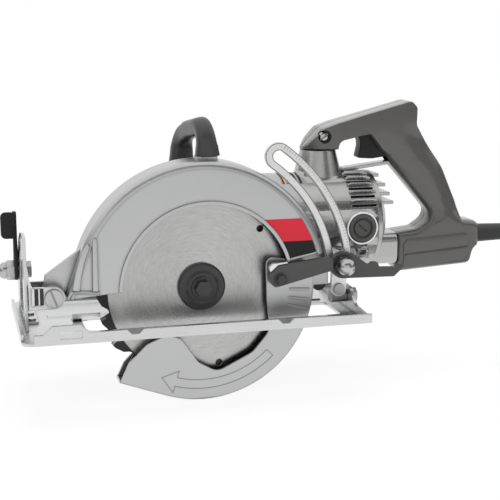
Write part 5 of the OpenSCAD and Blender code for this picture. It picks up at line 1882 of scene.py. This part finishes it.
@dataclass
class MotorTrim:
    """The louvred shell, the brush caps with their turned rims, and the windings behind the vents."""

    brush_x: float = 153.0
    face: float = 51.0
    cap_r: float = 13.0
    cap_wall: tuple[Point2, ...] = ((0.1, -5.0), (0.1, 0.5), (0.6, 1.0))
    cap_ring: tuple[Point2, ...] = (
        (9.9, 1.0), (9.5, 0.6), (9.5, -0.8), (7.9, -0.8), (7.9, -0.1), (7.4, 0.4), (POLE, 0.4),
    )
    cap_slot: tuple[Point2, ...] = ((-5, -0.9), (5, -0.9), (5, 0.9), (-5, 0.9))
    cap_turn: float = 40.0
    cap_cut: Point2 = (-0.9, 2.0)
    cap_steps: int = 64
    rim_gap: float = 0.12
    rim_out: float = 2.2
    rim_inner: tuple[Point2, ...] = ((0.0, -1.0), (0.0, 0.2), (0.4, 0.6))
    rim_outer: tuple[Point2, ...] = ((-0.6, 0.6), (0.0, 0.0), (0.0, -1.6))
    wire_r: float = 0.62
    wire_count: int = 12
    wire_pitch: float = 2.05
    wire_x: Point2 = (85.6, 86.2)
    wire_layers: Point2 = (38.6, 40.0)
    wire_arc: Point2 = (64.0, 68.0)
    wire_steps: int = 32
    vents: tuple[float, ...] = (85.6, 89.8, 94.0)
    vent_layer: float = 43.6
    vent_arc: Point2 = (76.0, 42.0)
    vent_steps: int = 24
    vent_pitch: float = 1.2
    vent_wire: float = 0.56
    louvres: int = 5
    louvre_at: float = 30.0
    louvre_step: float = 11.0
    louvre_x: Point2 = (146.0, 169.4)
    slot_r: Point2 = (36.0, 49.0)
    slot_wide: float = 3.1
    fin_shape: tuple[Point2, ...] = (
        (-1.7, 44.0), (-1.7, 46.3), (-0.9, 49.2), (0.5, 49.6), (1.7, 46.3), (1.7, 44.0),
    )
    fin_base: float = 45.0
    fin_front: tuple[Point2, ...] = ((-0.6, 2.6), (2.4, 0.0))
    fin_rear: tuple[Point2, ...] = ((-4.0, 0.0), (1.2, 2.4))
    # A black sheet behind the louvres: painted shade that stands for the dark inside of the housing
    shade_sheet_r: Point2 = (41.2, 42.3)
    shade_sheet_wide: float = 60.0
    shade_sheet_past: Point2 = (2.0, 0.5)
    bar_steps: int = 12

    def build(self) -> None:
        """Makes the louvred shell, both caps, both rims and the wires."""
        self._shell()
        self._fins()
        self._caps()
        self._rims()
        pitch = self.wire_pitch * self.wire_r
        for k, (x, r) in enumerate(zip(self.wire_x, self.wire_layers)):
            arc = self._arc(x, r, self.wire_arc, self.wire_steps)
            self._wires(f"field_wires_{k + 1}", arc, self.wire_count, pitch, self.wire_r)
        for k, x in enumerate(self.vents):
            arc = self._arc(x, self.vent_layer, self.vent_arc, self.vent_steps)
            self._wires(f"vent_wires_{k + 1}", arc, 2, self.vent_pitch, self.vent_wire)

    @staticmethod
    def _arc(x: float, r: float, turn: Point2, steps: int) -> list[Point3]:
        """Draws an arc round the motor's axis.

        Args:
            x: The place along the motor, in millimetres.
            r: The arc's radius.
            turn: Where it starts and how far it goes, in degrees.
            steps: How many pieces it has.

        Returns:
            The arc's points.
        """
        centre = (0.0, LAYOUT.motor_z)
        return [(x, *polar(r, turn[0] + turn[1] * i / steps, centre)) for i in range(steps + 1)]

    @staticmethod
    def _wires(name: str, arc: Sequence[Point3], count: int, pitch: float, radius: float) -> None:
        """Lays copper wires side by side along an arc.

        Args:
            name: The piece's name.
            arc: The first wire's middle line.
            count: How many wires there are.
            pitch: From one wire to the next, in millimetres.
            radius: The wire's radius.
        """
        values = {"count": count, "pitch": (pitch * MM, 0.0, 0.0), "radius": radius * MM}
        wires = run_tree(line_object(name, arc), TREES.wires, "copper_wire", **values)
        dress(wires, "copper_wire", Body.SAW)

    def _shell(self) -> None:
        """Cuts the louvres into a copy of the housing."""
        shell = node_copy("motor_shell", "motor_housing")
        slots = []
        for k in range(self.louvres):
            turn = self.louvre_at + (k - 0.5) * self.louvre_step
            for middle in (turn, 180 - turn):
                slots.append(self._bar("slot_tool", self.slot_r, middle, self.slot_wide, self.louvre_x))
        cut(shell, merge("slots_tool", slots))
        dress(shell, "motor_cast", Body.SAW, ["motor_housing"], sharp=CRISP)

    def _fins(self) -> None:
        """Sets a row of fins on each side, with a dark sheet behind it as painted shade inside the housing.
        """
        x0, x1 = self.louvre_x
        ends = [(x0 + x, d) for x, d in self.fin_front] + [(x1 + x, d) for x, d in self.fin_rear]
        near = ("near", 180 - self.louvre_at, -self.louvre_step)
        for name, start, step in (near, ("far", self.louvre_at, self.louvre_step)):
            rings = []
            for x, d in ends:
                rings.append([(x, r - (d if r > self.fin_base else 0.0), t) for t, r in self.fin_shape])
            fin = run_tree(
                loft(f"louvre_fins_{name}", rings), TREES.ring, "motor_cast", count=self.louvres,
                step=math.radians(step), start=math.radians(start), axis=(1.0, 0.0, 0.0),
                centre=(0.0, 0.0, LAYOUT.motor_z * MM),
            )
            dress(fin, "motor_cast", Body.SAW, sharp=CRISP)
            middle, past = start + (self.louvres - 1) * step / 2, self.shade_sheet_past
            reach = (x0 - past[0], x1 + past[1])
            # Black sheet behind the slots, painted shade inside the housing
            shade_sheet = self._bar(f"louvre_shade_sheet_{name}", self.shade_sheet_r, middle, self.shade_sheet_wide, reach)
            dress(shade_sheet, "carbon", Body.SAW, sharp=None)

    def _bar(self, name: str, radii: Point2, middle: float, width: float, ends: Point2) -> Piece:
        """Makes a piece of tube wall along the motor, round its axis.

        Args:
            name: The piece's name.
            radii: Its inner and outer radius, in millimetres.
            middle: The angle of its middle, in degrees.
            width: How far it goes round, in degrees.
            ends: Where it starts and ends along the motor.

        Returns:
            The new object.
        """
        steps = self.bar_steps
        turns = [middle - width / 2 + width * k / steps for k in range(steps + 1)]
        outline = [polar(radii[1], a) for a in turns] + [polar(radii[0], a) for a in reversed(turns)]
        return loft(name, [[(x, y, LAYOUT.motor_z + z) for y, z in outline] for x in ends])

    def _rims(self) -> None:
        """Turns the bright rim round each brush cap."""
        r0, r1 = self.cap_r + self.rim_gap, self.cap_r + self.rim_out
        shape = [(r0 + r, y) for r, y in self.rim_inner] + [(r1 + r, y) for r, y in self.rim_outer]
        for name, side in (("near", -1), ("far", 1)):
            profile = [(r, side * (self.face + y)) for r, y in shape]
            rim = ring(f"brush_rim_{name}", profile, (self.brush_x, LAYOUT.motor_z))
            dress(rim, "turned_rim", Body.SAW)

    def _caps(self) -> None:
        """Turns both brush caps with their raised ring and slotted middle."""
        side_wall = [(self.cap_r - d, y) for d, y in self.cap_wall]
        shape = [(POLE, side_wall[0][1]), *side_wall, *self.cap_ring]
        x, z, (c, s) = self.brush_x, LAYOUT.motor_z, polar(1.0, self.cap_turn)
        slot = [(x + c * u + s * v, z + c * v - s * u) for u, v in self.cap_slot]
        caps = []
        for side in (-1, 1):
            profile = [(out, side * (self.face + y)) for out, y in shape]
            cap = lathe("cap", profile, lambda h, u, v: (x + u, h, z + v), steps=self.cap_steps)
            depth = sorted(side * (self.face + y) for y in self.cap_cut)
            cut(cap, prism("slot_tool", slot, *depth))
            caps.append(cap)
        both = merge("brush_caps_turned", caps)
        dress(both, "lever_paint", Body.SAW, ["brush_caps"], sharp=CRISP)


@dataclass
class BevelLever:
    """The bevel lever: a strap on the quadrant's bolt with a folded thumb tab."""

    hub: Point2 = (-0.14, 41.64)
    thick: float = 3.5
    strap_shape: tuple[Corner, ...] = (
        (-9, -9, 8.9), (9, -9, 8.9), (9.2, 5, 6), (2.2, 25, 12), (1.8, 53, 2), (-6, 53, 2), (-6, 25, 12),
        (-9.2, 5, 6),
    )
    strap_edge: tuple[Point2, ...] = ((0.0, 0.7), (0.25, 0.2), (0.7, 0.0))
    tab_reach: float = 14.0
    tab_in: float = 1.2
    tab_z: Point2 = (29.2, 52.8)
    tab_y: Point2 = (-6.2, -2.2)
    tab_round: Point2 = (4.5, 1.5)
    tab_edge: float = 1.1

    def build(self) -> None:
        """Makes the strap and the tab as one pressed piece."""
        x1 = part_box("bevel_lever")[1][0] / MM
        y, z = self.hub
        outline = rounded([(y + u, z + v, r) for u, v, r in self.strap_shape], steps=7)
        edges = [*self.strap_edge, *((self.thick - x, d) for x, d in reversed(self.strap_edge))]
        strap = loft("strap", [[(x1 - self.thick + x, a, b) for a, b in inset(outline, d)] for x, d in edges])
        x0, x1, low, high = x1 - self.tab_reach, x1 - self.tab_in, z + self.tab_z[0], z + self.tab_z[1]
        wide, fold = self.tab_round
        corners = rounded([(x0, low, wide), (x1, low, fold), (x1, high, wide), (x0, high, wide)], steps=7)
        tab = pillow("tab", corners, y + self.tab_y[0], y + self.tab_y[1], self.tab_edge)
        lever = merge("bevel_thumb_lever", [strap, tab])
        dress(lever, "black_plastic", Body.BEVEL_LEVER, ["bevel_lever"])


@dataclass
class GuardTrim:
    """The ribs and the lip on the upper guard's front, and the clip on the lift lever."""

    face_y: float = -77.1
    slant_rib: tuple[Corner, ...] = (
        (-107.2, 37.0, 1.0), (-105.4, 50.0, 30), (-102.6, 62.0, 30), (-97.6, 75.5, 0.8), (-99.6, 77.5, 1.2),
        (-105.2, 69.0, 20), (-109.8, 55.0, 30), (-113.4, 38.0, 1.5),
    )
    front_rib: tuple[Corner, ...] = (
        (-96.2, 36.2, 0.5), (-91.6, 36.2, 0.5), (-91.6, 81.0, 2.0), (-93.6, 82.4, 1.0), (-95.6, 79.0, 1.5),
    )
    rib_y: Point2 = (0.3, -2.4)
    rib_edge: float = 0.7
    lip_line: tuple[Corner, ...] = ((-117.0, 31.0, 0), (-113.6, 36.4, 3), (-104, 36.0, 6), (-90.5, 34.6, 0))
    lip_y: float = -0.2
    lip_r: float = 1.5
    lip_sides: int = 16
    clip_shape: tuple[Corner, ...] = (
        (57.2, 44.6, 0.8), (64.2, 50.9, 1.0), (73.0, 52.0, 0.5), (73.0, 53.8, 1.0), (59.0, 52.8, 2.4),
        (56.0, 49.6, 2.0),
    )
    clip_y: Point2 = (-79.6, -83.2)
    clip_edge: float = 0.6

    def build(self) -> None:
        """Makes the ribs, the lip and the clip."""
        y0, y1 = (self.face_y + y for y in self.rib_y)
        for name, corners in (("guard_slant_rib", self.slant_rib), ("guard_front_rib", self.front_rib)):
            rib = cushion(name, rounded(corners, steps=4), y0, y1, self.rib_edge)
            dress(rib, "guard_cast", Body.SAW)
        path = [(x, self.face_y + self.lip_y, z) for x, z in rounded(self.lip_line, steps=6)]
        section = [polar(self.lip_r, 360 * k / self.lip_sides) for k in range(self.lip_sides)]
        dress(sweep("guard_lip", path, section), "guard_cast", Body.SAW)
        clip = cushion("lever_clip", rounded(self.clip_shape, steps=4), *self.clip_y, self.clip_edge)
        dress(clip, "bright_steel", Body.LOWER_GUARD)


@dataclass
class FootTrim:
    """The folded tab beside the front of the blade slot."""

    start_x: float = -110.0
    end_x: float = -86.0
    wall_y: float = -43.0
    thick: float = 1.6
    flange: float = 10.0
    low: float = 2.5
    high: float = 9.0
    soft: float = 0.35
    fold_in: float = 1.0
    fold_out: float = 2.4
    top_round: float = 0.6

    def build(self) -> None:
        """Folds a strip of sheet up from the foot and rounds its corners."""
        y, t, low, high = self.wall_y, self.thick, self.low, self.high
        corners = (
            (y + self.flange, low, 0.0), (y + self.flange, low + t, 0.0), (y + t, low + t, self.fold_in),
            (y + t, high, self.top_round), (y, high, self.top_round), (y, low, self.fold_out),
        )
        profile = rounded(corners, steps=5)
        narrow = inset(profile, self.soft)
        ends = ((self.start_x, narrow), (self.start_x + self.soft, profile),
                (self.end_x - self.soft, profile), (self.end_x, narrow))
        tab = loft("foot_tab", [[(x, a, b) for a, b in outline] for x, outline in ends])
        # The lighter scale_plate finish, instead of the foot's own, is painted light on the tab
        dress(tab, "scale_plate", Body.FOOT)


@dataclass
class BracketChannel:
    """The folded channel on the tilt bracket's near arm, with painted shadow in it and painted highlights on
    its folds.
    """

    face_y: float = -77.0
    low: float = 27.0
    high: float = 41.2
    floor_x: Point2 = (-146.0, -136.9)
    floor_y: Point2 = (-0.35, 0.05)
    front_x: Point2 = (-146.6, -144.4)
    rear_x: Point2 = (-141.4, -139.9)
    proud: float = 2.2
    past: float = 0.4
    edge: float = 0.5

    def build(self) -> None:
        """Makes the channel's floor, dark as painted shadow, and its two folds, in a lighter finish as
        painted highlights.
        """
        y0, y1 = (self.face_y + y for y in self.floor_y)
        floor = prism("bracket_channel", self._box(self.floor_x, 0.0), y0, y1)
        # Dark floor: painted shadow inside the channel
        dress(floor, "dark_steel", Body.DEPTH_FRAME)
        for name, ends in (("front", self.front_x), ("rear", self.rear_x)):
            outline = rounded([(x, z, self.edge) for x, z in self._box(ends, self.past)], steps=3)
            fold = cushion(f"bracket_fold_{name}", outline, self.face_y, self.face_y - self.proud, self.edge)
            # Lighter finish than the bracket's own: painted highlight on the folds
            dress(fold, "scale_plate", Body.DEPTH_FRAME)

    def _box(self, ends: Point2, more: float) -> list[Point2]:
        """Returns an upright box in X and Z, a little higher and lower than the channel's floor."""
        (x0, x1), z0, z1 = ends, self.low - more, self.high + more
        return [(x0, z0), (x1, z0), (x1, z1), (x0, z1)]


def dress_frame() -> None:
    """Gives every CAD node its finish."""
    for name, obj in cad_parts.items():
        obj.data.materials.clear()
        obj.data.materials.append(MATERIALS[NODE_FINISH[name]])
        LOG.info("node %s in %s", name, NODE_FINISH[name])


def main() -> None:
    """Builds the saw's looks in order."""
    logging.basicConfig(level=logging.INFO, format="%(name)s: %(message)s")
    Studio().build()
    SupplyCord().build()
    dress_frame()
    RearHandle().build()
    FrontHandle().build()
    BladeTeeth().build()
    GuardLabel().build()
    Scales().build()
    GuardArrow().build()
    DomeNut().build()
    MotorTrim().build()
    BevelLever().build()
    GuardTrim().build()
    FootTrim().build()
    BracketChannel().build()


if __name__ == "__main__":
    main()
